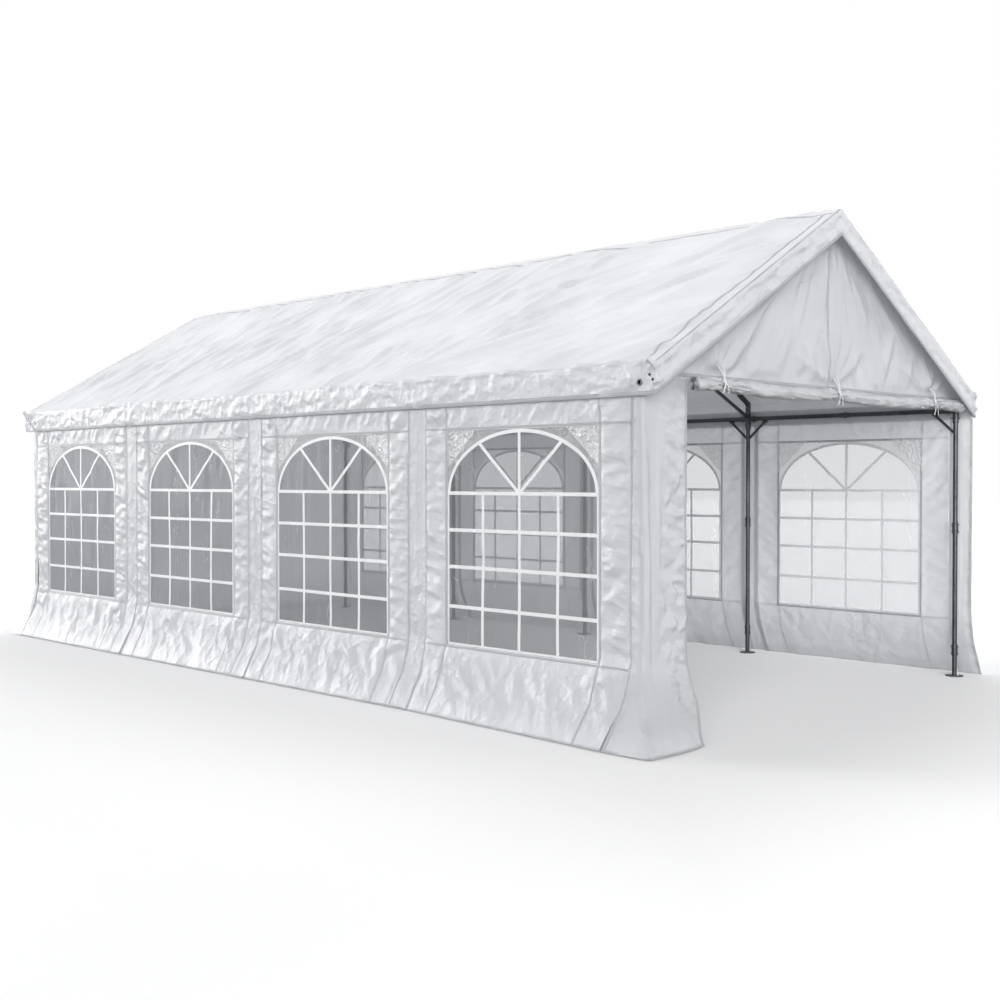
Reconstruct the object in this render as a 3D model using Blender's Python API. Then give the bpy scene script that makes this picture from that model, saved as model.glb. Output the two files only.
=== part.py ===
"""Marquee tent, 4 m by 8 m: a bolted steel tube frame under a white coated fabric cover.

Metres, +Z up. The origin is on the ground at the centre of the plan. The ridge runs along Y,
the open gable faces -Y, and the long walls with the windows stand at -X and +X.
"""
import math

import bmesh
import bpy
from mathutils import Matrix, Vector

# Driving dimensions of the frame
BAYS = 4
BAY_LENGTH = 2.0
FRAME_WIDTH = 4.0
RAIL_HEIGHT = 2.15
RAFTER_EAVE_HEIGHT = 2.285
RAFTER_RIDGE_HEIGHT = 3.445
POST_HEIGHT = 2.05
TUBE_RADIUS = 0.019
RAIL_RADIUS = 0.019
RAIL_COLLAR_RADIUS = 0.022
CHORD_RADIUS = 0.016
HANGER_RADIUS = 0.011
BRACE_RADIUS = 0.011
SLEEVE_RADIUS = 0.024
SOCKET_LENGTH = 0.09
SOCKET_RADIUS = 0.022
SOCKET_BACK = 0.005
RAFTER_SLEEVE_LENGTH = 0.16
CHORD_EAVE_HEIGHT = 2.16
CHORD_RIDGE_HEIGHT = 3.08
FOOT_RADIUS = 0.07
FOOT_THICKNESS = 0.006
COLLAR_LENGTH = 0.09
COLLAR_HEIGHTS = (0.21, 1.20)
BRACE_FOOT_HEIGHT = 1.96
BRACE_REACH = 0.18
SADDLE_SIZE = (0.030, 0.036, 0.005)

# Driving dimensions of the fabric
FABRIC = 0.003
COVER_OVERHANG = 0.055
GABLE_OVERHANG = 0.14
VALANCE_DROP = 0.195
WALL_TOP = 2.215
PANEL_BOTTOM = 2.219
SKIRT_HEIGHT = 0.08
SKIRT_FLARE = 0.18
CORNER_SEAM = 0.07
FLAP_REACH = 0.40
LOOSE_FLAP_REACH = 0.13
WINDOW_WIDTH = 1.36
WINDOW_BOTTOM = 0.47
WINDOW_TOP = 1.92
WINDOW_SHEET = 0.002
WINDOW_LAP = 0.02
ROLL_RADIUS = 0.055
ROLL_LEFT = -1.60
ROLL_RIGHT = 1.94

# Clearance left where two pieces touch, and the roundness of the tubes
GAP = 0.0003
TUBE_SIDES = 16
CHORD_SIDES = 12
ROLL_SIDES = 20
FOOT_SIDES = 24
ARC_STEPS = 5

# Values that follow from the ones above
HALF_WIDTH = FRAME_WIDTH / 2
HALF_LENGTH = BAYS * BAY_LENGTH / 2
SLOPE = (RAFTER_RIDGE_HEIGHT - RAFTER_EAVE_HEIGHT) / HALF_WIDTH
COS_SLOPE = 1 / math.hypot(1, SLOPE)
WALL_LINE = (SLEEVE_RADIUS + GAP) / math.cos(math.pi / 4 / ARC_STEPS)
COVER_HALF_WIDTH = HALF_WIDTH + COVER_OVERHANG
COVER_HALF_LENGTH = HALF_LENGTH + GABLE_OVERHANG
LINING_RISE = (SLEEVE_RADIUS + GAP) / COS_SLOPE
COVER_RISE = LINING_RISE + FABRIC / COS_SLOPE
FRAME_LINES = [-HALF_LENGTH + BAY_LENGTH * i for i in range(BAYS + 1)]
SIDES = {"left": -1, "right": 1}


def clear_scene():
    """Remove whatever the scene holds."""
    for item in list(bpy.data.objects):
        bpy.data.objects.remove(item, do_unlink=True)


def make_material(name, colour, roughness, metallic=0.0, alpha=1.0):
    """A plain surface with the piece's own colour and gloss."""
    material = bpy.data.materials.new(name)
    material.use_nodes = True
    shader = material.node_tree.nodes["Principled BSDF"]
    shader.inputs["Base Color"].default_value = (*colour, 1.0)
    shader.inputs["Roughness"].default_value = roughness
    shader.inputs["Metallic"].default_value = metallic
    shader.inputs["Alpha"].default_value = alpha
    return material


def galvanised_steel(name):
    """Grey zinc on the frame's tubes."""
    return make_material(name + "_steel", (0.22, 0.23, 0.24), 0.42, metallic=0.9)


def white_fabric(name):
    """Coated white fabric, slightly glossy."""
    return make_material(name + "_fabric", (0.86, 0.87, 0.88), 0.38)


def clear_film(name):
    """Clear film of the windows."""
    return make_material(name + "_film", (0.80, 0.83, 0.85), 0.12, alpha=0.35)


def object_from(name, mesh_builder, material, place=(0.0, 0.0, 0.0), turn=0.0):
    """Make one object from a bmesh, put it in its place and give it its material."""
    mesh = bpy.data.meshes.new(name)
    bmesh.ops.recalc_face_normals(mesh_builder, faces=mesh_builder.faces)
    mesh_builder.to_mesh(mesh)
    mesh_builder.free()
    item = bpy.data.objects.new(name, mesh)
    item.location = place
    item.rotation_euler = (0.0, 0.0, turn)
    if material:
        mesh.materials.append(material)
    bpy.context.scene.collection.objects.link(item)
    return item


def shade_round(item):
    """Smooth the round sides and keep the ends crisp."""
    item.data.shade_smooth()
    item.data.set_sharp_from_angle(angle=math.radians(35))


def add_rod(builder, start, end, radius, sides=TUBE_SIDES):
    """Add a capped round rod between two points."""
    start = Vector(start)
    along = Vector(end) - start
    turn = along.to_track_quat("Z", "Y").to_matrix().to_4x4()
    place = Matrix.Translation(start + along / 2) @ turn
    bmesh.ops.create_cone(
        builder, cap_ends=True, segments=sides, radius1=radius, radius2=radius,
        depth=along.length, matrix=place,
    )


def add_bent_rod(builder, points, radius, sides=TUBE_SIDES):
    """Add a capped round rod through points in a plane across the tent, mitred at each bend."""
    points = [Vector(point) for point in points]
    across = Vector((0, 1, 0))
    runs = [(second - first).normalized() for first, second in zip(points, points[1:])]
    rings = []
    for index, point in enumerate(points):
        before = runs[max(index - 1, 0)]
        after = runs[min(index, len(runs) - 1)]
        mitre = (before + after).normalized()
        spread = mitre.cross(across) / mitre.dot(after)
        ring = []
        for step in range(sides):
            angle = math.tau * step / sides
            offset = across * math.cos(angle) + spread * math.sin(angle)
            ring.append(builder.verts.new(point + offset * radius))
        rings.append(ring)
    for first, second in zip(rings, rings[1:]):
        for step in range(sides):
            after = (step + 1) % sides
            builder.faces.new((first[step], first[after], second[after], second[step]))
    builder.faces.new(rings[0])
    builder.faces.new(rings[-1])


def add_block(builder, low, high):
    """Add a box between two corners."""
    low = Vector(low)
    size = Vector(high) - low
    place = Matrix.Translation(low + size / 2) @ Matrix.Diagonal((*size, 1.0))
    bmesh.ops.create_cube(builder, size=1.0, matrix=place)


def helper(name, fill, place, turn=0.0):
    """A shape that is only used to join to or cut from another one."""
    builder = bmesh.new()
    fill(builder)
    item = object_from(name, builder, None, place, turn)
    item.hide_render = True
    item.display_type = "WIRE"
    return item


def combine(item, tool, operation):
    """Join a helper to an object or cut it away."""
    step = item.modifiers.new(tool.name, "BOOLEAN")
    step.operation = operation
    step.solver = "EXACT"
    step.object = tool


def fuse(name, fills, material, place, turn=0.0):
    """One solid made of several overlapping shapes."""
    builder = bmesh.new()
    fills[0](builder)
    item = object_from(name, builder, material, place, turn)
    for index, fill in enumerate(fills[1:]):
        combine(item, helper(f"{name}_shape_{index}", fill, place, turn), "UNION")
    shade_round(item)
    return item


def rod(start, end, radius, sides=TUBE_SIDES):
    """A rod to be joined to others."""
    return lambda builder: add_rod(builder, start, end, radius, sides)


def bent_rod(points, radius, sides=TUBE_SIDES):
    """A bent rod to be joined to others."""
    return lambda builder: add_bent_rod(builder, points, radius, sides)


def block(low, high):
    """A box to be joined to others or cut from them."""
    return lambda builder: add_block(builder, low, high)


def knee_brace(direction):
    """A short tube from the post up to a saddle under the eave rail."""
    saddle_top = RAIL_HEIGHT - RAIL_RADIUS - GAP
    width, length, thickness = SADDLE_SIZE
    reach = direction * BRACE_REACH
    saddle_bottom = saddle_top - thickness
    return [
        rod((0, 0, BRACE_FOOT_HEIGHT), (0, reach, saddle_bottom - BRACE_RADIUS / 2), BRACE_RADIUS),
        block(
            (-width / 2, reach - length / 2, saddle_bottom - BRACE_RADIUS),
            (width / 2, reach + length / 2, saddle_top),
        ),
    ]


def make_post(name, x, y, brace_directions):
    """An upright tube on its foot plate, with the collars of its joints and its knee braces."""
    fills = [rod((0, 0, FOOT_THICKNESS / 2), (0, 0, POST_HEIGHT), TUBE_RADIUS)]
    fills.append(rod((0, 0, 0), (0, 0, FOOT_THICKNESS), FOOT_RADIUS, FOOT_SIDES))
    for height in COLLAR_HEIGHTS:
        low = height - COLLAR_LENGTH / 2
        fills.append(rod((0, 0, low), (0, 0, low + COLLAR_LENGTH), SLEEVE_RADIUS))
    for direction in brace_directions:
        fills.extend(knee_brace(direction))
    return fuse(name, fills, galvanised_steel(name), (x, y, 0))


def inward_directions(index):
    """The directions along Y in which the frame goes on from a frame line."""
    if index == 0:
        return [1]
    if index == BAYS:
        return [-1]
    return [-1, 1]


def make_posts():
    """Two rows of posts, one at every frame line."""
    for index, y in enumerate(FRAME_LINES):
        for side, sign in SIDES.items():
            make_post(f"post_{side}_{index + 1}", sign * HALF_WIDTH, y, inward_directions(index))


def rail_sockets(x, z, directions):
    """One tube along Y whose ends hold the rails of the neighbouring bays."""
    start = SOCKET_LENGTH if -1 in directions else SOCKET_BACK
    end = SOCKET_LENGTH if 1 in directions else SOCKET_BACK
    return rod((x, -start, z), (x, end, z), SOCKET_RADIUS)


def eave_joint(sign, directions):
    """The sleeve on a post's head, bent into the rafter's line, with its rail sockets."""
    x = sign * HALF_WIDTH
    elbow = Vector((x, 0, RAFTER_EAVE_HEIGHT))
    up_slope = Vector((-sign * COS_SLOPE, 0, SLOPE * COS_SLOPE))
    bend = [(x, 0, POST_HEIGHT + GAP), elbow, elbow + up_slope * RAFTER_SLEEVE_LENGTH]
    return [bent_rod(bend, SLEEVE_RADIUS), rail_sockets(x, RAIL_HEIGHT, directions)]


def ridge_joint(directions):
    """The rafters' sleeves, which meet at the top, and the sockets of the ridge rail."""
    apex = Vector((0, 0, RAFTER_RIDGE_HEIGHT))
    down_slope = Vector((COS_SLOPE, 0, -SLOPE * COS_SLOPE)) * RAFTER_SLEEVE_LENGTH
    up_slope = Vector((COS_SLOPE, 0, SLOPE * COS_SLOPE)) * RAFTER_SLEEVE_LENGTH
    bend = [apex - up_slope, apex, apex + down_slope]
    return [bent_rod(bend, SLEEVE_RADIUS), rail_sockets(0.0, RAFTER_RIDGE_HEIGHT, directions)]


def peak(foot_height, top_height):
    """Three points from one eave over the ridge line to the other eave."""
    return [(-HALF_WIDTH, 0, foot_height), (0, 0, top_height), (HALF_WIDTH, 0, foot_height)]


def make_roof_frame(index, y):
    """The pair of rafters with its eave and ridge joints and the lower chord under it."""
    directions = inward_directions(index)
    hanger_foot = CHORD_RIDGE_HEIGHT - CHORD_RADIUS
    fills = [
        bent_rod(peak(RAFTER_EAVE_HEIGHT, RAFTER_RIDGE_HEIGHT), TUBE_RADIUS),
        bent_rod(peak(CHORD_EAVE_HEIGHT, CHORD_RIDGE_HEIGHT), CHORD_RADIUS, CHORD_SIDES),
        rod((0, 0, hanger_foot), (0, 0, RAFTER_RIDGE_HEIGHT), HANGER_RADIUS, CHORD_SIDES),
    ]
    for sign in SIDES.values():
        fills.extend(eave_joint(sign, directions))
    fills.extend(ridge_joint(directions))
    name = f"roof_frame_{index + 1}"
    return fuse(name, fills, galvanised_steel(name), (0, y, 0))


def make_roof_frames():
    """One pair of rafters at every frame line."""
    for index, y in enumerate(FRAME_LINES):
        make_roof_frame(index, y)


def make_rail(name, x, z, bay):
    """A tube between the sockets of two neighbouring frames, with the collar at its middle."""
    reach = BAY_LENGTH / 2 - SOCKET_LENGTH - GAP
    fills = [
        rod((0, -reach, 0), (0, reach, 0), RAIL_RADIUS),
        rod((0, -COLLAR_LENGTH / 2, 0), (0, COLLAR_LENGTH / 2, 0), RAIL_COLLAR_RADIUS),
    ]
    middle = FRAME_LINES[bay] + BAY_LENGTH / 2
    return fuse(name, fills, galvanised_steel(name), (x, middle, z))


def make_rails():
    """Eave rails on both sides and the ridge rail, one length in every bay."""
    for bay in range(BAYS):
        for side, sign in SIDES.items():
            make_rail(f"eave_rail_{side}_{bay + 1}", sign * HALF_WIDTH, RAIL_HEIGHT, bay)
        make_rail(f"ridge_rail_{bay + 1}", 0.0, RAFTER_RIDGE_HEIGHT, bay)


def straight_run(start, end):
    """Two stations of a wall in plan, each with its place and its outward direction."""
    along = (Vector(end) - Vector(start)).normalized()
    outward = Vector((along.y, -along.x))
    return [(Vector(start), outward), (Vector(end), outward)]


def corner_turn(post, first_angle, last_angle):
    """Stations round a corner post in plan, close to the collars of the post."""
    stations = []
    for step in range(ARC_STEPS + 1):
        angle = first_angle + (last_angle - first_angle) * step / ARC_STEPS
        outward = Vector((math.cos(angle), math.sin(angle)))
        stations.append((Vector(post) + outward * WALL_LINE, outward))
    return stations


def hanging_sheet(name, stations):
    """A sheet that hangs straight down along a line in plan and flares out at its skirt."""
    builder = bmesh.new()
    columns = []
    for place, outward in stations:
        column = []
        for reach, height in (
            (0.0, WALL_TOP), (0.0, SKIRT_HEIGHT), (SKIRT_FLARE, 0.0),
            (SKIRT_FLARE + FABRIC, 0.0), (FABRIC, SKIRT_HEIGHT), (FABRIC, WALL_TOP),
        ):
            point = place + outward * reach
            column.append(builder.verts.new((point.x, point.y, height)))
        columns.append(column)
    count = len(columns[0])
    for first, second in zip(columns, columns[1:]):
        for index in range(count):
            after = (index + 1) % count
            builder.faces.new((first[index], first[after], second[after], second[index]))
    for column in (columns[0], columns[-1]):
        builder.faces.new((column[0], column[1], column[4], column[5]))
        builder.faces.new((column[1], column[2], column[3], column[4]))
    return object_from(name, builder, white_fabric(name))


def panel_ends(bay):
    """Where a side panel starts and ends along Y."""
    start = FRAME_LINES[bay] + GAP / 2
    end = FRAME_LINES[bay + 1] - GAP / 2
    if bay == 0:
        start = -HALF_LENGTH + CORNER_SEAM + GAP
    if bay == BAYS - 1:
        end = HALF_LENGTH - CORNER_SEAM - GAP
    return start, end


def make_side_walls():
    """Four panels on each long side, each with the opening of its window."""
    for side, sign in SIDES.items():
        x = sign * (HALF_WIDTH + WALL_LINE)
        for bay in range(BAYS):
            start, end = panel_ends(bay)
            plan = straight_run((x, start), (x, end))
            if sign < 0:
                plan = straight_run((x, end), (x, start))
            wall = hanging_sheet(f"side_wall_{side}_{bay + 1}", plan)
            middle = FRAME_LINES[bay] + BAY_LENGTH / 2
            low = (-SKIRT_FLARE, -WINDOW_WIDTH / 2, WINDOW_BOTTOM)
            high = (SKIRT_FLARE, WINDOW_WIDTH / 2, WINDOW_TOP)
            cutter = helper(f"window_opening_{side}_{bay + 1}", block(low, high), (x, middle, 0))
            combine(wall, cutter, "DIFFERENCE")


def make_window_sheets():
    """A sheet of clear film welded to the inside of every side panel."""
    inner_face = HALF_WIDTH + WALL_LINE - GAP
    for side, sign in SIDES.items():
        for bay in range(BAYS):
            builder = bmesh.new()
            add_block(
                builder,
                (-WINDOW_SHEET / 2, -WINDOW_WIDTH / 2 - WINDOW_LAP, WINDOW_BOTTOM - WINDOW_LAP),
                (WINDOW_SHEET / 2, WINDOW_WIDTH / 2 + WINDOW_LAP, WINDOW_TOP + WINDOW_LAP),
            )
            name = f"window_sheet_{side}_{bay + 1}"
            middle = FRAME_LINES[bay] + BAY_LENGTH / 2
            place = (sign * (inner_face - WINDOW_SHEET / 2), middle, 0)
            object_from(name, builder, clear_film(name), place)


def make_rear_wall():
    """The closed rear wall, which wraps both rear corner posts in one sheet."""
    x = HALF_WIDTH + WALL_LINE
    seam = HALF_LENGTH - CORNER_SEAM
    stations = straight_run((x, seam), (x, HALF_LENGTH))[:1]
    stations += corner_turn((HALF_WIDTH, HALF_LENGTH), 0.0, math.pi / 2)
    stations += corner_turn((-HALF_WIDTH, HALF_LENGTH), math.pi / 2, math.pi)
    stations += straight_run((-x, HALF_LENGTH), (-x, seam))[1:]
    return hanging_sheet("rear_wall", stations)


def make_corner_flaps():
    """The flap wrapped round the left corner post of the open gable, and the loose right one."""
    x = HALF_WIDTH + WALL_LINE
    y = -HALF_LENGTH - WALL_LINE
    seam = -HALF_LENGTH + CORNER_SEAM
    stations = straight_run((-x, seam), (-x, -HALF_LENGTH))[:1]
    stations += corner_turn((-HALF_WIDTH, -HALF_LENGTH), math.pi, math.pi * 1.5)
    stations += straight_run((-HALF_WIDTH, y), (-HALF_WIDTH + FLAP_REACH, y))[1:]
    hanging_sheet("corner_flap_front_left", stations)
    loose = straight_run((x, -HALF_LENGTH - LOOSE_FLAP_REACH), (x, seam))
    hanging_sheet("corner_flap_front_right", loose)


def make_gable_panel(name, sign):
    """The triangle of fabric that closes a gable above the eaves."""
    lining_ridge = RAFTER_RIDGE_HEIGHT + LINING_RISE - GAP / COS_SLOPE
    half = (lining_ridge - PANEL_BOTTOM) / SLOPE
    half = min(half, COVER_HALF_WIDTH - FABRIC - GAP)
    shoulder = lining_ridge - SLOPE * half
    outline = [(-half, PANEL_BOTTOM), (half, PANEL_BOTTOM), (half, shoulder), (0, lining_ridge), (-half, shoulder)]
    builder = bmesh.new()
    near = [builder.verts.new((px, 0.0, pz)) for px, pz in outline]
    far = [builder.verts.new((px, sign * FABRIC, pz)) for px, pz in outline]
    builder.faces.new(near)
    builder.faces.new(far)
    for index in range(len(outline)):
        after = (index + 1) % len(outline)
        builder.faces.new((near[index], near[after], far[after], far[index]))
    return object_from(name, builder, white_fabric(name), (0, sign * (HALF_LENGTH + WALL_LINE), 0))


def make_door_roll():
    """The gable's door, rolled up and tied in front of the frame, right under the gable panel."""
    forward = CHORD_RADIUS + GAP + ROLL_RADIUS
    panel_face = WALL_LINE + FABRIC
    rise = math.sqrt(ROLL_RADIUS ** 2 - (forward - panel_face) ** 2)
    axis_height = PANEL_BOTTOM - GAP - rise
    builder = bmesh.new()
    add_rod(builder, (ROLL_LEFT, 0, 0), (ROLL_RIGHT, 0, 0), ROLL_RADIUS, ROLL_SIDES)
    place = (0, -HALF_LENGTH - forward, axis_height)
    roll = object_from("door_roll", builder, white_fabric("door_roll"), place)
    shade_round(roll)
    return roll


def roof_section(half_width, eave, ridge, foot):
    """The gable outline of the cover: two slopes and the drop at each eave."""
    return [(-half_width, foot), (-half_width, eave), (0, ridge), (half_width, eave), (half_width, foot)]


def prism(outline, half_length):
    """An outline across the tent, drawn out along its length."""
    def fill(builder):
        near = [builder.verts.new((px, -half_length, pz)) for px, pz in outline]
        far = [builder.verts.new((px, half_length, pz)) for px, pz in outline]
        builder.faces.new(near)
        builder.faces.new(list(reversed(far)))
        for index in range(len(outline)):
            after = (index + 1) % len(outline)
            builder.faces.new((near[index], far[index], far[after], near[after]))
    return fill


def make_roof_cover():
    """The roof sheet with its valance down every edge: hollow below and open inside the hem."""
    ridge = RAFTER_RIDGE_HEIGHT + COVER_RISE
    eave = ridge - SLOPE * COVER_HALF_WIDTH
    hem = eave - VALANCE_DROP
    lining_ridge = RAFTER_RIDGE_HEIGHT + LINING_RISE
    lining_half = COVER_HALF_WIDTH - FABRIC
    lining_eave = lining_ridge - SLOPE * lining_half
    below = hem - 1.0
    builder = bmesh.new()
    prism(roof_section(COVER_HALF_WIDTH, eave, ridge, hem), COVER_HALF_LENGTH)(builder)
    cover = object_from("roof_cover", builder, white_fabric("roof_cover"))
    inside = prism(roof_section(lining_half, lining_eave, lining_ridge, below), COVER_HALF_LENGTH - FABRIC)
    combine(cover, helper("roof_cover_inside", inside, (0, 0, 0)), "DIFFERENCE")
    past = COVER_HALF_LENGTH + 0.1
    mouth = prism(roof_section(lining_half, hem, ridge - VALANCE_DROP, below), past)
    combine(cover, helper("roof_cover_mouth", mouth, (0, 0, 0)), "DIFFERENCE")
    return cover


def build_tent():
    """Put the whole tent up, from the posts to the cover."""
    clear_scene()
    make_posts()
    make_roof_frames()
    make_rails()
    make_side_walls()
    make_window_sheets()
    make_rear_wall()
    make_corner_flaps()
    make_gable_panel("gable_panel_front", -1)
    make_gable_panel("gable_panel_rear", 1)
    make_door_roll()
    make_roof_cover()


build_tent()
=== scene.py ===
"""Marquee tent, 4 m by 8 m: white coated cloth over a bolted frame of galvanised steel tube.

Metres, +Z up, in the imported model's own frame. The ridge runs along Y, the open gable faces -Y,
and the long walls with the arched windows stand at -X (left) and +X (right).
"""

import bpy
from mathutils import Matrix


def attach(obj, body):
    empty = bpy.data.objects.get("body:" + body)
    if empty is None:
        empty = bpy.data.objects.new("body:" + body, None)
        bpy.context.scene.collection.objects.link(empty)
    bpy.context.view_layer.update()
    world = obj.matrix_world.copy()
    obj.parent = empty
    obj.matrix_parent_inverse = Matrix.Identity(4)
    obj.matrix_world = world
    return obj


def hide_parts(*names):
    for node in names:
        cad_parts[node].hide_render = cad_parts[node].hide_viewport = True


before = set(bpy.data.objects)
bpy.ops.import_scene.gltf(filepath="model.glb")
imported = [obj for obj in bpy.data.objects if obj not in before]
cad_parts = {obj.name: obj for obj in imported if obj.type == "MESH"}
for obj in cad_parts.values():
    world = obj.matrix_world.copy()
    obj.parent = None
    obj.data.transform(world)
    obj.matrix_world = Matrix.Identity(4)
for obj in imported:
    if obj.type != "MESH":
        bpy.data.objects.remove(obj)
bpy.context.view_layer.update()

import logging
import math
from dataclasses import dataclass, field
from enum import Enum
from typing import Any, Sequence

import bpy
import numpy as np
from mathutils import Vector

logging.basicConfig(level=logging.INFO, format="%(message)s")
LOG = logging.getLogger("marquee")

Array = np.ndarray
Pair = tuple[float, float]
Triple = tuple[float, float, float]
Link = bpy.types.Node | bpy.types.NodeSocket


class Side(Enum):
    """The two long sides of the tent, with the sign of their X."""

    LEFT = -1
    RIGHT = 1


class Gable(Enum):
    """The two ends of the tent, with the sign of their Y."""

    FRONT = -1
    REAR = 1


class Slot(Enum):
    """The record's material slots."""

    STEEL = "galvanised_steel"
    WALL = "wall_fabric"
    ROOF = "roof_fabric"
    FILM = "clear_film"


@dataclass(frozen=True)
class TentSizes:
    """The sizes that all pieces share, in metres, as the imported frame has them."""

    bays: int = 4
    bay: float = 2.0
    half_width: float = 2.0
    half_length: float = 4.0
    rail_height: float = 2.15
    rafter_eave: float = 2.285
    rafter_ridge: float = 3.445
    tube: float = 0.019
    sleeve: float = 0.024
    socket: float = 0.022
    sleeve_length: float = 0.16
    collar_length: float = 0.09
    collar_heights: Pair = (0.21, 1.20)
    post_top: float = 2.05
    wall_line: float = 0.0261
    wall_top: float = 2.215
    corner_seam: float = 0.07
    skirt_height: float = 0.20
    skirt_reach: float = 0.178
    cover_half_width: float = 2.0535
    cover_half_length: float = 4.1385
    cover_ridge: float = 3.4749
    valance: float = 0.195
    window_half: float = 0.68
    window_bottom: float = 0.47
    window_top: float = 1.92
    window_spring: float = 1.50
    seam_top: float = 2.2
    seam_off: float = 0.0013
    seam_thickness: float = 0.0018
    door_ties: Triple = (-1.30, 0.06, 1.47)

    @property
    def slope(self) -> float:
        """Rise of the roof for each metre across."""
        return (self.rafter_ridge - self.rafter_eave) / self.half_width

    @property
    def frame_lines(self) -> list[float]:
        """Where the five frames stand along Y."""
        return [-self.half_length + self.bay * index for index in range(self.bays + 1)]

    def roof_height(self, x: Array) -> Array:
        """Height of the cover's middle over the plan, before any fold."""
        return self.cover_ridge - self.slope * np.abs(x)


TENT = TentSizes()


def smooth_step(value: Array, low: float, high: float) -> Array:
    """Rises softly from 0 at low to 1 at high."""
    share = np.clip((value - low) / (high - low), 0.0, 1.0)
    return share * share * (3.0 - 2.0 * share)


def linear(colour: str) -> tuple[float, float, float, float]:
    """Turns an sRGB hex colour into linear red, green, blue and a full alpha.

    Args:
        colour: Six hex digits after a number sign.

    Returns:
        The four numbers that a colour socket takes.
    """
    parts = [int(colour[start:start + 2], 16) / 255 for start in (1, 3, 5)]
    curve = [part / 12.92 if part <= 0.04045 else ((part + 0.055) / 1.055) ** 2.4 for part in parts]
    return (curve[0], curve[1], curve[2], 1.0)


class Grain:
    """Soft repeatable noise over a surface, from about -1 to 1."""

    def __init__(self, seed: int) -> None:
        """Draws the directions of the noise once.

        Args:
            seed: Gives each piece its own pattern.
        """
        rng = np.random.default_rng(seed)
        turn = rng.random(256) * math.tau
        self.order = np.concatenate([rng.permutation(256)] * 2)
        self.across = np.cos(turn)
        self.along = np.sin(turn)

    def at(self, u: Array, v: Array) -> Array:
        """Reads the noise.

        Args:
            u: First coordinate, in pattern cells.
            v: Second coordinate, in pattern cells.

        Returns:
            One value for each point.
        """
        cell_u, cell_v = np.floor(u).astype(int), np.floor(v).astype(int)
        rest_u, rest_v = u - cell_u, v - cell_v

        def corner(step_u: int, step_v: int) -> Array:
            """The share of one corner of the cell."""
            pick = self.order[self.order[(cell_u + step_u) & 255] + ((cell_v + step_v) & 255)]
            return self.across[pick] * (rest_u - step_u) + self.along[pick] * (rest_v - step_v)

        ease_u = rest_u ** 3 * (rest_u * (rest_u * 6 - 15) + 10)
        ease_v = rest_v ** 3 * (rest_v * (rest_v * 6 - 15) + 10)
        low = corner(0, 0) * (1 - ease_u) + corner(1, 0) * ease_u
        high = corner(0, 1) * (1 - ease_u) + corner(1, 1) * ease_u
        return 1.5 * (low * (1 - ease_v) + high * ease_v)

    def creased(self, u: Array, v: Array, layers: int = 3) -> Array:
        """Noise with sharp creases between soft facets, as in crumpled sheet.

        Args:
            u: First coordinate, in pattern cells.
            v: Second coordinate, in pattern cells.
            layers: How many finer copies are added.

        Returns:
            One value for each point, about 0 on average.
        """
        total = np.zeros(np.shape(u))
        share = 1.0
        for layer in range(layers):
            total += share * (0.38 - np.abs(self.at(u + 17.3 * layer, v - 9.1 * layer)))
            u, v, share = u * 2.03, v * 2.03, share * 0.5
        return total


@dataclass(frozen=True)
class Fold:
    """One crease of the cloth, along a line on its surface.

    Args:
        start: Where it starts, in the sheet's own two coordinates.
        end: Where it runs out.
        width: Distance from its crest to its foot.
        rise: Height of its crest.
        peak: Share of its length at which it is highest.
        bow: How far its middle bends sideways.
    """

    start: Pair
    end: Pair
    width: float
    rise: float
    peak: float = 0.3
    bow: float = 0.0

    @classmethod
    def drawn(cls, rng: np.random.Generator, start: Pair, end: Pair, *form: float | Pair,
              **more: float | Pair) -> "Fold":
        """Makes a fold whose form is drawn wherever a range is given in place of a number.

        Args:
            rng: Draws the numbers, in the order in which they are given.
            start: Where it starts.
            end: Where it runs out.
            *form: Its width, rise, peak and bow.
            **more: The same by name.

        Returns:
            The fold.
        """
        form = [rng.uniform(*part) if isinstance(part, tuple) else part for part in form]
        more = {key: rng.uniform(*part) if isinstance(part, tuple) else part for key, part in more.items()}
        return cls(start, end, *form, **more)

    def lift(self, u: Array, v: Array) -> Array:
        """Height of the fold at points of the sheet.

        Args:
            u: First coordinate of the points.
            v: Second coordinate of the points.

        Returns:
            The height, with a shallow dip beside the crest.
        """
        step_u, step_v = self.end[0] - self.start[0], self.end[1] - self.start[1]
        length = math.hypot(step_u, step_v)
        along = ((u - self.start[0]) * step_u + (v - self.start[1]) * step_v) / length ** 2
        off = ((u - self.start[0]) * step_v - (v - self.start[1]) * step_u) / length
        inside = np.clip(along, 0.0, 1.0)
        off = (off - self.bow * 4 * inside * (1 - inside)) / self.width
        reach = smooth_step(along, 0.0, max(self.peak, 0.02)) * (1 - smooth_step(along, self.peak, 1.0))
        crest = np.exp(-(np.sqrt(off * off + 0.09) - 0.3) * 1.6)
        dip = 0.4 * np.exp(-((off - 2.0) / 1.2) ** 2)
        return self.rise * reach * (crest - dip)


def all_folds(folds: Sequence[Fold], u: Array, v: Array) -> Array:
    """Adds up folds at points of a sheet."""
    total = np.zeros(np.shape(u))
    for fold in folds:
        total += fold.lift(u, v)
    return total


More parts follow.
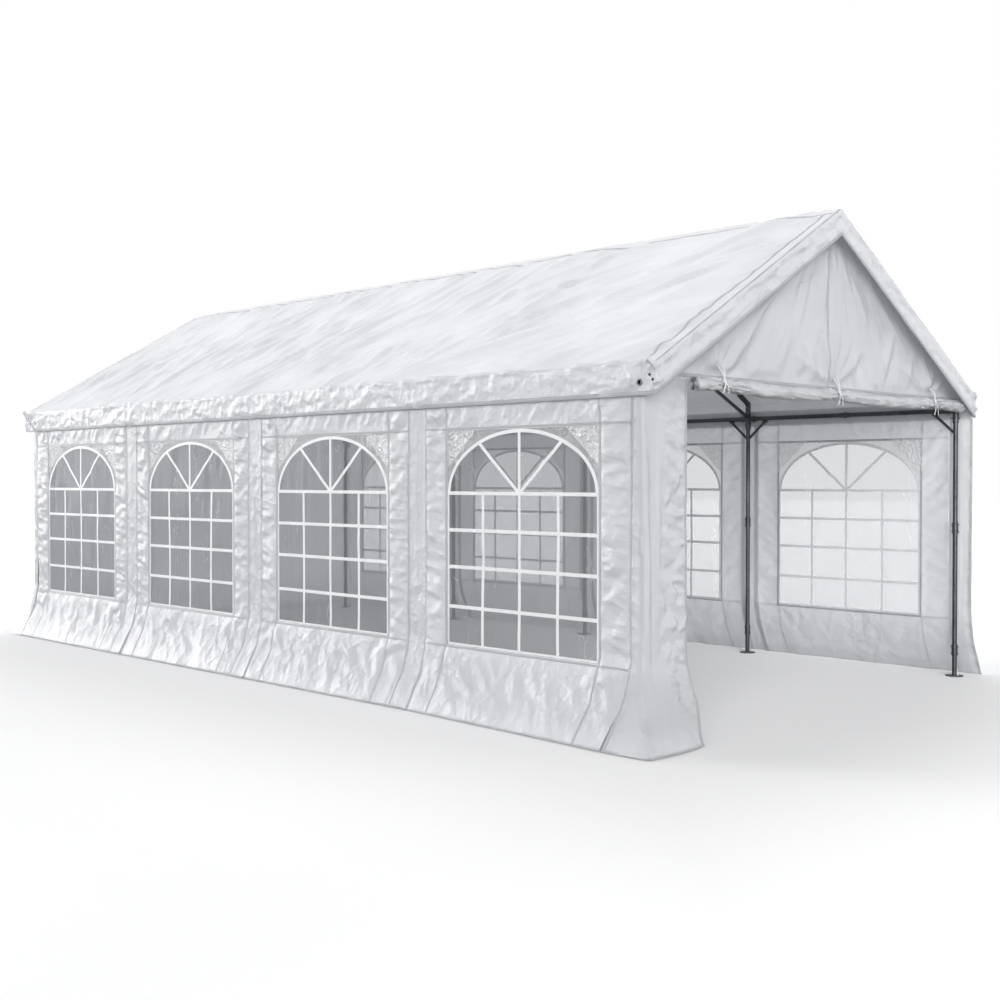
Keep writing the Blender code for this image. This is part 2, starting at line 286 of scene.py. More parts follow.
class Track:
    """A line in a plane with rounded corners, read by its length."""

    def __init__(self, corners: Sequence[Pair], radii: Sequence[float], step: float = 0.004) -> None:
        """Rounds the corners and measures the line.

        Args:
            corners: The points of the sharp line.
            radii: The radius at each inner point.
            step: Longest distance between points on a bend.
        """
        points = [np.array(corners[0], float)]
        for before, here, after, radius in zip(corners, corners[1:], corners[2:], radii):
            points.extend(self.bend(np.array(before), np.array(here), np.array(after), radius, step))
        points.append(np.array(corners[-1], float))
        self.points = np.array(points)
        self.lengths = np.concatenate([[0.0], np.cumsum(np.linalg.norm(np.diff(self.points, axis=0), axis=1))])
        self.total = float(self.lengths[-1])

    @staticmethod
    def bend(before: Array, here: Array, after: Array, radius: float, step: float) -> list[Array]:
        """Points on the arc that rounds one corner."""
        incoming = (here - before) / np.linalg.norm(here - before)
        outgoing = (after - here) / np.linalg.norm(after - here)
        turn = math.acos(float(np.clip(incoming @ outgoing, -1, 1)))
        if turn < 1e-4:
            return [here]
        reach = radius * math.tan(turn / 2)
        side = outgoing - incoming * (incoming @ outgoing)
        side = side / np.linalg.norm(side)
        centre = here - incoming * reach + side * radius
        count = max(3, int(radius * turn / step) + 1)
        angles = np.linspace(0.0, turn, count)
        return [centre + (-side * math.cos(a) + incoming * math.sin(a)) * radius for a in angles]

    def at(self, length: Array) -> tuple[Array, Array, Array, Array]:
        """Reads the line.

        Args:
            length: Distances from its start.

        Returns:
            Both coordinates, and both parts of the direction at its left hand.
        """
        first = np.interp(length, self.lengths, self.points[:, 0])
        second = np.interp(length, self.lengths, self.points[:, 1])
        ahead, behind = np.clip(length + 0.004, 0, self.total), np.clip(length - 0.004, 0, self.total)
        run_first, run_second = (
            np.interp(ahead, self.lengths, part) - np.interp(behind, self.lengths, part) for part in self.points.T)
        size = np.maximum(np.hypot(run_first, run_second), 1e-9)
        return first, second, -run_second / size, run_first / size


def spaced(breaks: Sequence[float], step: float) -> Array:
    """Even stations between given breaks, with each break kept.

    Args:
        breaks: Rising values that must be stations.
        step: Longest distance between stations.

    Returns:
        The stations.
    """
    parts = []
    for low, high in zip(breaks, breaks[1:]):
        count = max(1, math.ceil((high - low) / step - 1e-6))
        parts.append(np.linspace(low, high, count, endpoint=False))
    return np.concatenate(parts + [[breaks[-1]]])


@dataclass(frozen=True)
class Rod:
    """A straight tube of the frame that cloth has to lie over."""

    start: Triple
    end: Triple
    radius: float

    def push(self, points: Array, gap: float) -> Array:
        """Moves points that are too close to the tube straight away from it.

        Args:
            points: The points of a sheet's middle.
            gap: Distance that the middle keeps from the tube's face.

        Returns:
            The moved points.
        """
        start, along = np.array(self.start), np.array(self.end) - np.array(self.start)
        share = np.clip((points - start) @ along / (along @ along), 0.0, 1.0)
        away = points - (start + share[:, None] * along)
        distance = np.linalg.norm(away, axis=1)
        needed = self.radius + gap
        close = (distance < needed) & (distance > 1e-6)
        moved = points.copy()
        moved[close] += away[close] * (needed / distance[close] - 1.0)[:, None]
        return moved


def frame_rods() -> list[Rod]:
    """The tubes, sleeves and collars that touch cloth."""
    rods = []
    half, eave, ridge = TENT.half_width, TENT.rafter_eave, TENT.rafter_ridge
    cosine = 1 / math.hypot(1, TENT.slope)
    run, drop = TENT.sleeve_length * cosine, TENT.sleeve_length * cosine * TENT.slope
    for y in TENT.frame_lines:
        for side in Side:
            x = side.value * half
            inner = x - side.value * run
            rods.append(Rod((x, y, eave), (0.0, y, ridge), TENT.tube))
            rods.append(Rod((x, y, eave), (inner, y, eave + drop), TENT.sleeve))
            rods.append(Rod((0.0, y, ridge), (side.value * run, y, ridge - drop), TENT.sleeve))
            rods.append(Rod((x, y, TENT.post_top), (x, y, eave), TENT.sleeve))
            rods.append(Rod((x, y, 0.0), (x, y, TENT.post_top), TENT.tube))
            for height in TENT.collar_heights:
                low, high = height - TENT.collar_length / 2, height + TENT.collar_length / 2
                rods.append(Rod((x, y, low), (x, y, high), TENT.sleeve))
    length = TENT.half_length
    rods.append(Rod((0.0, -length, ridge), (0.0, length, ridge), TENT.socket))
    for side in Side:
        x = side.value * half
        rods.append(Rod((x, -length, TENT.rail_height), (x, length, TENT.rail_height), TENT.socket))
    return rods


def clear_of_frame(points: Array, rods: Sequence[Rod], gap: float = 0.0015) -> Array:
    """Lays a sheet over the tubes instead of through them, at a gap from their faces."""
    for rod in rods:
        points = rod.push(points, gap)
    return points


def point_normals(points: Array, quads: Array) -> Array:
    """Unit normals at the points of a quad mesh, weighted by area."""
    corners = points[quads]
    facing = np.cross(corners[:, 2] - corners[:, 0], corners[:, 3] - corners[:, 1])
    total = np.zeros_like(points)
    for index in range(4):
        np.add.at(total, quads[:, index], facing)
    return total / np.maximum(np.linalg.norm(total, axis=1), 1e-12)[:, None]


def grid_quads(rows: int, columns: int, keep: Array | None = None) -> Array:
    """Quads of a grid whose points run along each row.

    Args:
        rows: Number of rows of points.
        columns: Number of points in a row.
        keep: Which cells have cloth, where there is an opening.

    Returns:
        Four point numbers for each cell.
    """
    row, column = np.meshgrid(np.arange(rows - 1), np.arange(columns - 1), indexing="ij")
    if keep is not None:
        row, column = row[keep], column[keep]
    first = (row * columns + column).ravel()
    return np.stack([first, first + columns, first + columns + 1, first + 1], axis=1)


class Mesh:
    """Gathers the parts of one piece: points, faces, finishes and the cloth's own coordinates."""

    def __init__(self) -> None:
        """Starts empty."""
        self.points: list[Array] = []
        self.faces: list[Sequence[int]] = []
        self.slots: list[int] = []
        self.flat: list[Array] = []
        self.creasing: list[Array] = []
        self.count = 0

    def add(self, points: Array, faces: Sequence, slot: int = 0, flat: Array | None = None,
            creasing: Array | Sequence[float] = (0.0, 0.0, 0.4)) -> None:
        """Adds a part.

        Args:
            points: Its points.
            faces: Its faces, by their numbers.
            slot: Which of the piece's materials it has.
            flat: Where each point lies on the flat cloth, in metres.
            creasing: Share of the level, the upright and the crumpled creases, from 0 to 1.
        """
        number = len(points)
        shifted = (np.asarray(faces) + self.count).tolist() if isinstance(faces, np.ndarray) else [
            [index + self.count for index in face] for face in faces]
        self.points.append(np.asarray(points, float))
        self.faces.extend(shifted)
        self.slots.extend([slot] * len(shifted))
        self.flat.append(np.zeros((number, 2)) if flat is None else flat)
        self.creasing.append(np.broadcast_to(np.asarray(creasing, float), (number, 3)))
        self.count += number

    def add_sheet(self, points: Array, quads: Array, flat: Array, creasing: Array | Sequence[float]) -> None:
        """Adds a sheet of cloth in one layer, without the points that no cell uses.

        Args:
            points: Its points.
            quads: Its cells.
            flat: Where each point lies on the flat cloth.
            creasing: Share of the level, the upright and the crumpled creases.
        """
        used, inverse = np.unique(quads, return_inverse=True)
        creasing = np.broadcast_to(np.asarray(creasing, float), (len(points), 3))
        self.add(points[used], inverse.reshape(quads.shape), 0, flat[used], creasing[used])

    @staticmethod
    def directions(centre: Array, closed: bool) -> Array:
        """Unit directions along a line of points."""
        along = np.roll(centre, -1, axis=0) - np.roll(centre, 1, axis=0)
        if not closed:
            along[0], along[-1] = centre[1] - centre[0], centre[-1] - centre[-2]
        return along / np.linalg.norm(along, axis=1)[:, None]

    @staticmethod
    def flat_rows(centre: Array, shares: Sequence[float]) -> Array:
        """Places on the flat cloth of rows of points along a line, each at its share of the width."""
        length = np.concatenate([[0.0], np.cumsum(np.linalg.norm(np.diff(centre, axis=0), axis=1))])
        return np.concatenate([np.stack([length, np.full(len(centre), share)], axis=1) for share in shares])

    @staticmethod
    def between_rows(count: int, rows: int, gaps: int, closed: bool) -> list[list[int]]:
        """Faces between rows of points that run side by side along a line.

        Args:
            count: Number of points in a row.
            rows: Number of rows.
            gaps: How many of the gaps between them get faces; the last gap leads back to the first row.
            closed: Whether the line's end meets its start.

        Returns:
            Four point numbers for each face.
        """
        faces = []
        for row in range(gaps):
            low, high = row * count, (row + 1) % rows * count
            for index in range(count if closed else count - 1):
                after = (index + 1) % count
                faces.append([low + index, low + after, high + after, high + index])
        return faces

    def add_strip(self, centre: Array, facing: Array, width: float, thickness: float, slot: int = 0,
                  closed: bool = False, laid_on: bool = False) -> None:
        """Adds a flat strip along a line, such as a seam, a hem or a strap.

        Args:
            centre: The points along its middle.
            facing: The direction that its face has at each point.
            width: Its width.
            thickness: Its thickness.
            slot: Which of the piece's materials it has.
            closed: Whether its end meets its start.
            laid_on: Whether it lies on cloth or film, so that it has no back of its own.
        """
        along = self.directions(centre, closed)
        across = np.cross(along, facing)
        across /= np.linalg.norm(across, axis=1)[:, None]
        normal = np.cross(across, along)
        count = len(centre)
        corners = [(-1, -1), (-0.94, 1), (0.94, 1), (1, -1)] if laid_on else [(-1, 1), (1, 1), (1, -1), (-1, -1)]
        points = np.concatenate(
            [centre + across * (a * width / 2) + normal * (b * thickness / 2) for a, b in corners])
        flat = self.flat_rows(centre, [a * 0.5 + 0.5 for a, _ in corners])
        faces = self.between_rows(count, 4, 3 if laid_on else 4, closed)
        if not closed and not laid_on:
            faces.append([0, count, 2 * count, 3 * count])
            faces.append([4 * count - 1, 3 * count - 1, 2 * count - 1, count - 1])
        self.add(points, faces, slot, flat)

    def add_seam(self, centre: Array, facing: Array, width: float = 0.014) -> None:
        """Adds a stitched seam that lies on cloth, in the piece's second material."""
        self.add_strip(centre, facing, width, TENT.seam_thickness, slot=1, laid_on=True)

    def add_tube(self, centre: Array, radius: Array | float, sides: int = 8, slot: int = 0,
                 closed: bool = False) -> None:
        """Adds a round cord, piping or bar along a line.

        Args:
            centre: The points along its middle.
            radius: Its radius, one for all or one for each point.
            sides: Points around it.
            slot: Which of the piece's materials it has.
            closed: Whether its end meets its start.
        """
        count = len(centre)
        along = self.directions(centre, closed)
        seed = np.array([0.0, 0.0, 1.0]) if abs(along[0][2]) < 0.9 else np.array([1.0, 0.0, 0.0])
        side = np.cross(along[0], seed)
        first = []
        for direction in along:
            side = side - direction * (side @ direction)
            side = side / np.linalg.norm(side)
            first.append(side)
        first = np.array(first)
        second = np.cross(along, first)
        radius = np.broadcast_to(np.asarray(radius, float), (count,))[:, None]
        turns = math.tau * np.arange(sides) / sides
        points = np.concatenate(
            [centre + radius * (first * math.cos(a) + second * math.sin(a)) for a in turns])
        flat = self.flat_rows(centre, [a / math.tau for a in turns])
        faces = [[a, d, c, b] for a, b, c, d in self.between_rows(count, sides, sides, closed)]
        if not closed:
            faces.append([ring * count for ring in range(sides)][::-1])
            faces.append([(ring + 1) * count - 1 for ring in range(sides)])
        self.add(points, faces, slot, flat)

    def add_turned(self, centre: Sequence[float], axis: Sequence[float], outline: Sequence[Pair],
                   sides: int = 20, slot: int = 0) -> None:
        """Adds a turned part, such as an eyelet, a washer or a bolt head.

        Args:
            centre: Where its foot is.
            axis: The direction in which it stands up.
            outline: Radius and height of each ring, from its foot to its top.
            sides: Points around it.
            slot: Which of the piece's materials it has.
        """
        turn = Vector(axis).to_track_quat("Z", "Y")
        points = []
        for radius, height in outline:
            for step in range(sides):
                angle = math.tau * step / sides
                spot = Vector((radius * math.cos(angle), radius * math.sin(angle), height))
                points.append(list(Vector(centre) + turn @ spot))
        faces = []
        for ring in range(len(outline) - 1):
            for step in range(sides):
                after = (step + 1) % sides
                low, high = ring * sides, (ring + 1) * sides
                faces.append([low + step, low + after, high + after, high + step])
        faces.append(list(range(sides))[::-1])
        faces.append([(len(outline) - 1) * sides + step for step in range(sides)])
        self.add(np.array(points), faces, slot)

    def build(self, name: str, materials: Sequence[bpy.types.Material]) -> bpy.types.Object:
        """Makes the piece.

        Args:
            name: Its name.
            materials: Its materials, in the order of their slots.

        Returns:
            The new object.
        """
        mesh = bpy.data.meshes.new(name)
        mesh.from_pydata(np.concatenate(self.points).tolist(), [], self.faces)
        for material in materials:
            mesh.materials.append(material)
        mesh.polygons.foreach_set("material_index", np.array(self.slots, dtype=np.int32))
        corner_points = np.empty(len(mesh.loops), dtype=np.int32)
        mesh.loops.foreach_get("vertex_index", corner_points)
        layer = mesh.uv_layers.new(name="flat_cloth")
        layer.uv.foreach_set("vector", np.concatenate(self.flat)[corner_points].ravel())
        creasing = mesh.attributes.new("creasing", "FLOAT_VECTOR", "POINT")
        creasing.data.foreach_set("vector", np.concatenate(self.creasing).astype(np.float32).ravel())
        mesh.shade_smooth()
        mesh.set_sharp_from_angle(angle=math.radians(50))
        mesh.update()
        piece = bpy.data.objects.new(name, mesh)
        bpy.context.scene.collection.objects.link(piece)
        return piece


class Recipe:
    """A material's nodes as they are put together."""

    def __init__(self, name: str) -> None:
        """Starts a material with no nodes."""
        self.material = bpy.data.materials.new(name)
        self.material.use_nodes = True
        self.tree = self.material.node_tree
        self.tree.nodes.clear()

    @classmethod
    def on(cls, tree: bpy.types.NodeTree) -> "Recipe":
        """Continues in the node tree of something that isn't a material."""
        recipe = cls.__new__(cls)
        recipe.tree = tree
        return recipe

    def add(self, kind: str, inputs: dict[Any, Any] | Sequence = (), **settings: Any) -> bpy.types.Node:
        """Adds a node with its settings and links.

        Args:
            kind: The node's type, without the prefix that all types share.
            inputs: A value, an output or a node, which stands for its first output, for each socket. A row
                without names fills the sockets from the first one.
            **settings: The node's own options.

        Returns:
            The new node.
        """
        node = self.tree.nodes.new("ShaderNode" + kind)
        for key, value in settings.items():
            setattr(node, key, value)
        for key, value in inputs.items() if isinstance(inputs, dict) else enumerate(inputs):
            if isinstance(value, bpy.types.Node):
                value = value.outputs[0]
            if isinstance(value, bpy.types.NodeSocket):
                self.tree.links.new(value, node.inputs[key])
            else:
                node.inputs[key].default_value = value
        return node

    def finish(self, surface: Link) -> bpy.types.Material:
        """Ends the material with its surface."""
        self.add("OutputMaterial", {"Surface": surface})
        return self.material


@dataclass(frozen=True)
class CoatedCloth:
    """Woven polyethylene cloth with a film melted on both faces.

    Args:
        name: The material's name.
        white: Its colour in the light.
        shade: The greyer white of its thin places, and the painted shade of its foot.
        crease_mm: Distance between its larger crumples.
        crinkle_mm: Distance between its finer crumples.
        drawn_mm: Distance between the creases that run one way.
        crease_depth_mm: Height of the larger crumples where the cloth is most crumpled.
        crinkle_depth_mm: Height of the finer crumples.
        drawn_depth_mm: Height of the creases that run one way.
        level_pull: How the level creases are drawn out, along the wall and up.
        level_turn: Their slant, in degrees.
        upright_pull: The same for the upright creases.
        upright_turn: Their slant, in degrees.
        gloss: Roughness of the film's face.
        glow: Share of the light that comes through it.
    """

    name: str
    white: str = "#DEDFE2"
    shade: str = "#CACBCF"
    crease_mm: float = 120.0
    crinkle_mm: float = 42.0
    drawn_mm: float = 80.0
    crease_depth_mm: float = 26.0
    crinkle_depth_mm: float = 7.4
    drawn_depth_mm: float = 21.0
    level_pull: Pair = (0.28, 1.0)
    level_turn: float = 8.0
    upright_pull: Pair = (1.0, 0.16)
    upright_turn: float = -6.0
    gloss: float = 0.41
    glow: float = 0.26

    def folded(self, recipe: Recipe, place: Link, size: float, depth: float) -> Link:
        """Height of facets with sharp creases between them.

        Args:
            recipe: Where the nodes go.
            place: Coordinates in metres.
            size: Distance between creases, in millimetres.
            depth: Height of the facets, in millimetres.

        Returns:
            The height in metres.
        """
        add = recipe.add
        wobble = add("TexNoise", {"Vector": place, "Scale": 700 / size, "Detail": 2.0})
        moved = add("VectorMath", (wobble.outputs["Color"], (size / 900,) * 3, place), operation="MULTIPLY_ADD")
        facets = add("TexVoronoi", {"Vector": moved, "Scale": 1000 / size})
        return add("Math", (facets.outputs["Distance"], depth / 1000), operation="MULTIPLY")

    def creases(self, recipe: Recipe) -> Link:
        """Height of the creases: level, upright and crumpled ones, each by its own share at each place."""
        add = recipe.add
        place = add("TexCoord").outputs["Object"]
        parts = add("SeparateXYZ", (place,))
        along = add("Math", (parts.outputs[0], parts.outputs[1]), operation="SUBTRACT")
        wall = add("CombineXYZ", (along, parts.outputs[2]))
        heights = []
        for scale, turn in ((self.level_pull, self.level_turn), (self.upright_pull, self.upright_turn)):
            turned = add("Mapping", {"Vector": wall, "Rotation": (0.0, 0.0, math.radians(turn))})
            drawn = add("Mapping", {"Vector": turned, "Scale": (*scale, 1.0)})
            heights.append(self.folded(recipe, drawn, self.drawn_mm, self.drawn_depth_mm))
        large = self.folded(recipe, place, self.crease_mm, self.crease_depth_mm)
        fine = self.folded(recipe, place, self.crinkle_mm, self.crinkle_depth_mm)
        heights.append(add("Math", (large, fine), operation="ADD"))
        shares = add("SeparateXYZ", (add("Attribute", attribute_name="creasing").outputs["Vector"],))
        total = None
        for height, share in zip(heights, shares.outputs):
            part = add("Math", (height, share), operation="MULTIPLY")
            total = part if total is None else add("Math", (total, part), operation="ADD")
        return total

    def material(self) -> bpy.types.Material:
        """White and slightly glossy: the film catches light on each crease, and daylight glows through."""
        recipe = Recipe(self.name)
        add = recipe.add
        place = add("TexCoord")
        # The tapes of the weave are 2.5 mm wide; drawn 5 mm wide so that a close view shows them
        threads = []
        for axis in ("X", "Y"):
            wave = add("TexWave", {"Vector": place.outputs["UV"], "Scale": 1000 / 5.0 / 20, "Distortion": 0.6,
                       "Detail": 1.0}, bands_direction=axis)
            threads.append(wave.outputs["Fac"])
        weave = add("Math", (threads[0], threads[1]), operation="MAXIMUM")
        woven = add("Math", (weave, 0.00006, self.creases(recipe)), operation="MULTIPLY_ADD")
        bump = add("Bump", {"Strength": 1.0, "Distance": 1.0, "Height": woven})
        cloudy = add("TexNoise", {"Vector": place.outputs["Object"], "Scale": 2.6, "Detail": 3.0})
        height = add("SeparateXYZ", (place.outputs["Object"],)).outputs[2]
        # Painted shade: the lowest half metre is greyed a little, to darken the skirt that tilts up to the light
        painted_foot_shade = add("MapRange", {"Value": height, "From Min": 0.52, "From Max": 0.30, "To Max": 0.5},
                   interpolation_type="SMOOTHSTEP")
        # The mix adds the painted shade at the foot to the cloth's random tone
        grey = add("Math", (cloudy, 0.5, painted_foot_shade), operation="MULTIPLY_ADD", use_clamp=True)
        colour = add("Mix", {0: grey, 6: linear(self.white), 7: linear(self.shade)}, data_type="RGBA")
        rough = add("MapRange", {"Value": cloudy, "From Min": 0.3, "From Max": 0.7, "To Min": self.gloss - 0.05,
                    "To Max": self.gloss + 0.07})
        face = add("BsdfPrincipled", {"Base Color": colour.outputs[2], "Roughness": rough, "IOR": 1.5,
                   "Coat Weight": 0.12, "Coat Roughness": 0.22, "Normal": bump})
        through = add("BsdfTranslucent", {"Color": colour.outputs[2], "Normal": bump})
        # The skirt is doubled and lies on the ground, so less light comes through it
        hanging = add("MapRange", {"Value": height, "From Min": 0.07, "From Max": 0.13, "To Min": self.glow * 0.6,
                      "To Max": self.glow})
        mixed = add("MixShader", (hanging, face, through))
        return recipe.finish(mixed)


@dataclass(frozen=True)
class RoofCloth(CoatedCloth):
    """The same cloth stretched over rafters: long drawn creases that run up the slope.

    Args:
        front_lean: Turn of the creases in the front bay, from straight up the slope, in degrees.
        middle_lean: Their turn further back.
        streak_mm: Distance between them.
        streak_depth_mm: Their height.
    """

    front_lean: float = 52.0
    middle_lean: float = 12.0
    glow: float = 0.16
    streak_mm: float = 90.0
    streak_depth_mm: float = 4.8

    def creases(self, recipe: Recipe) -> Link:
        """Height of the drawn creases, with the loose crumples of the valance."""
        add = recipe.add
        crumples = CoatedCloth.creases(self, recipe)
        parts = add("SeparateXYZ", (add("TexCoord").outputs["Object"],))
        across = add("Math", (parts.outputs[0],), operation="ABSOLUTE")
        down = add("Math", (across, math.hypot(1, TENT.slope)), operation="MULTIPLY")
        slope = add("CombineXYZ", (down, parts.outputs[1]))
        fields = []
        for lean in (self.middle_lean, self.front_lean):
            turned = add("Mapping", {"Vector": slope, "Rotation": (0.0, 0.0, math.radians(-lean))})
            drawn = add("Mapping", {"Vector": turned, "Scale": (0.2, 1.0, 1.0)})
            large = self.folded(recipe, drawn, self.streak_mm, self.streak_depth_mm)
            fine = self.folded(recipe, drawn, self.streak_mm * 0.45, self.streak_depth_mm * 0.3)
            fields.append(add("Math", (large, fine), operation="ADD"))
        ahead = add("MapRange", {"Value": parts.outputs[1], "From Min": -1.0, "From Max": -2.4},
                    interpolation_type="SMOOTHSTEP")
        blend = add("Mix", {0: ahead, 2: fields[0], 3: fields[1]}, data_type="FLOAT")
        return add("Math", (blend, crumples), operation="ADD")


@dataclass(frozen=True)
class StitchedBand:
    """A doubled edge of the same cloth, lockstitched along both its sides.

    Args:
        name: The material's name.
        white: Colour of the doubled cloth.
        thread: Colour of the thread.
        stitch_mm: Length of a stitch and the gap after it.
    """

    name: str
    white: str = "#DCDDE0"
    thread: str = "#B4B6BA"
    stitch_mm: float = 18.0

    def material(self) -> bpy.types.Material:
        """White like the cloth it lies on and as bright against the light; two rows of thread dimple it."""
        recipe = Recipe(self.name)
        add = recipe.add
        flat = add("TexCoord").outputs["UV"]
        parts = add("SeparateXYZ", (flat,))
        # A real stitch is 5 mm long; drawn three times as coarse so that the row shows
        turn = add("Math", (parts.outputs[0], math.tau * 1000 / self.stitch_mm), operation="MULTIPLY")
        wave = add("Math", (turn,), operation="SINE")
        dash = add("Math", (wave, -0.2), operation="GREATER_THAN")
        middle = add("Math", (parts.outputs[1], 0.5), operation="SUBTRACT")
        off = add("Math", (middle,), operation="ABSOLUTE")
        row = add("Math", (off, 0.33, 0.10), operation="COMPARE")
        stitch = add("Math", (row, dash), operation="MULTIPLY")
        colour = add("Mix", {0: stitch, 6: linear(self.white), 7: linear(self.thread)}, data_type="RGBA")
        dimple = add("Math", (row, wave), operation="MULTIPLY")
        bump = add("Bump", {"Strength": 1.0, "Distance": 0.0006, "Height": dimple})
        rough = add("MapRange", {"Value": stitch, "To Min": 0.36, "To Max": 0.7})
        face = add("BsdfPrincipled", {"Base Color": colour.outputs[2], "Roughness": rough, "Coat Weight": 0.15,
                   "Coat Roughness": 0.2, "Normal": bump})
        through = add("BsdfTranslucent", {"Color": colour.outputs[2]})
        mixed = add("MixShader", (0.55, face, through))
        return recipe.finish(mixed)


@dataclass(frozen=True)
class ClearFilm:
    """Soft PVC film, calendered clear, with a milky print outside the window's arch.

    Args:
        name: The material's name.
        tint: Colour of the haze in the film.
        pane: Share of the film that hides what is behind it, inside the arch.
        milky: The same in the corners outside the arch.
        patch: The same on the patches in the top corners.
        creased: How much more the painted bright streaks along the ripples hide.
        ripple_mm: Distance between the upright ripples of the film.
    """

    name: str
    tint: str = "#F2F4F6"
    pane: float = 0.21
    milky: float = 0.58
    patch: float = 0.78
    creased: float = 0.26
    ripple_mm: float = 90.0

    def material(self) -> bpy.types.Material:
        """See-through with painted bright reflection streaks where the soft film ripples, and cloudy outside the
        arch.
        """
        recipe = Recipe(self.name)
        add = recipe.add
        place = add("TexCoord").outputs["Object"]
        parts = add("SeparateXYZ", (place,))
        bay = add("Math", (parts.outputs[1], TENT.half_length), operation="ADD")
        inside = add("Math", (bay, TENT.bay), operation="MODULO")
        centred = add("Math", (inside, TENT.bay / 2), operation="SUBTRACT")
        across = add("Math", (centred,), operation="ABSOLUTE")
        rise = TENT.window_top - TENT.window_spring
        over = add("Math", (parts.outputs[2], TENT.window_spring), operation="SUBTRACT")
        upper = add("Math", (over, 0.0), operation="MAXIMUM")
        wide = add("Math", (across, TENT.window_half), operation="DIVIDE")
        high = add("Math", (upper, rise), operation="DIVIDE")
        wide_squared = add("Math", (wide, 2.0), operation="POWER")
        high_squared = add("Math", (high, 2.0), operation="POWER")
        round_it = add("Math", (wide_squared, high_squared), operation="ADD")
        outside = add("Math", (round_it, 1.0), operation="GREATER_THAN")
        above = add("Math", (over, 0.0), operation="GREATER_THAN")
        spandrel = add("Math", (outside, above), operation="MULTIPLY")
        # The patch is a triangle, 270 mm along the top and 250 mm down the side
        slant_across = add("Math", (across, 1 / 0.27, -TENT.window_half / 0.27), operation="MULTIPLY_ADD")
        slant = add("Math", (parts.outputs[2], 1 / 0.25, slant_across), operation="MULTIPLY_ADD")
        corner = add("Math", (slant, TENT.window_top / 0.25 - 1.0), operation="GREATER_THAN")
        haze = add("Math", (spandrel, self.milky - self.pane, self.pane), operation="MULTIPLY_ADD")
        cloudy = add("Math", (corner, self.patch - self.milky, haze), operation="MULTIPLY_ADD")
        upright = add("Mapping", {"Vector": place, "Scale": (1.0, 1.0, 0.22)})
        ripple = add("TexNoise", {"Vector": upright, "Scale": 1000 / self.ripple_mm, "Detail": 2.0,
                     "Distortion": 0.5})
        fine = add("TexNoise", {"Vector": place, "Scale": 26.0, "Detail": 2.0, "Distortion": 0.8})
        fine_centred = add("Math", (fine, 2.0, -1.0), operation="MULTIPLY_ADD")
        fine_folded = add("Math", (fine_centred,), operation="ABSOLUTE")
        stiff = add("Math", (spandrel, corner), operation="ADD")
        crinkled = add("Math", (fine_folded, stiff), operation="MULTIPLY")
        crinkle_depth = add("Math", (crinkled, 0.009), operation="MULTIPLY")
        depth = add("Math", (ripple, 0.006, crinkle_depth), operation="MULTIPLY_ADD")
        bump = add("Bump", {"Strength": 1.0, "Distance": 1.0, "Height": depth})
        facing = add("LayerWeight", {"Blend": 0.5, "Normal": bump}).outputs["Facing"]
        steep = add("Math", (facing, 5.0), operation="POWER")
        edge = add("Math", (steep, 0.95, 0.05), operation="MULTIPLY_ADD")
        # Painted reflection: thin broken white lines, 3 to 6 mm wide, along the film's ripples stand in for glints of
        # light on it
        centred_ripple = add("Math", (ripple, 0.5), operation="SUBTRACT")
        from_line = add("Math", (centred_ripple,), operation="ABSOLUTE")
        line = add("MapRange", {"Value": from_line, "From Min": 0.012, "From Max": 0.003})
        patchy = add("TexNoise", {"Vector": upright, "Scale": 6.0, "Detail": 1.0})
        broken = add("MapRange", {"Value": patchy, "From Min": 0.57, "From Max": 0.67, "To Max": self.creased})
        painted_streaks_and_edge = add("Math", (line, broken, edge), operation="MULTIPLY_ADD")
        solid = add("Math", (cloudy, painted_streaks_and_edge), operation="ADD", use_clamp=True)
        clear = add("BsdfTransparent", {"Color": linear("#CECFD1")})
        face = add("BsdfPrincipled", {"Base Color": linear(self.tint), "Roughness": 0.12, "IOR": 1.53,
                   "Specular IOR Level": 1.0, "Normal": bump})
        # Haze scatters light forwards, so the film is pale against the light and dull against the dark
        print_colour = add("Mix", {0: stiff, 6: linear(self.tint), 7: linear("#AAACAF")}, data_type="RGBA")
        haze = add("BsdfTranslucent", {"Color": print_colour.outputs[2]})
        forwards = add("Math", (stiff, -0.22, 0.72), operation="MULTIPLY_ADD", use_clamp=True)
        body = add("MixShader", (forwards, face, haze))
        mixed = add("MixShader", (solid, clear, body))
        return recipe.finish(mixed)


@dataclass(frozen=True)
class WeldedBar:
    """White PVC tape, welded onto the film by heat.

    Args:
        name: The material's name.
        white: Its colour.
    """

    name: str
    white: str = "#F4F4F6"

    def material(self) -> bpy.types.Material:
        """Even white with a satin face that the welding roller has faintly embossed."""
        recipe = Recipe(self.name)
        add = recipe.add
        place = add("TexCoord")
        # The roller's knurl is 2 mm apart; drawn 4 mm apart so that a close view shows it
        knurl = add("TexVoronoi", {"Vector": place.outputs["Object"], "Scale": 1000 / 4.0})
        bump = add("Bump", {"Strength": 0.35, "Distance": 0.0004, "Height": knurl})
        cloudy = add("TexNoise", {"Vector": place.outputs["Object"], "Scale": 14.0})
        rough = add("MapRange", {"Value": cloudy, "To Min": 0.3, "To Max": 0.45})
        face = add("BsdfPrincipled", {"Base Color": linear(self.white), "Roughness": rough, "IOR": 1.53,
                   "Normal": bump})
        through = add("BsdfTranslucent", {"Color": linear(self.white)})
        mixed = add("MixShader", (0.18, face, through))
        return recipe.finish(mixed)


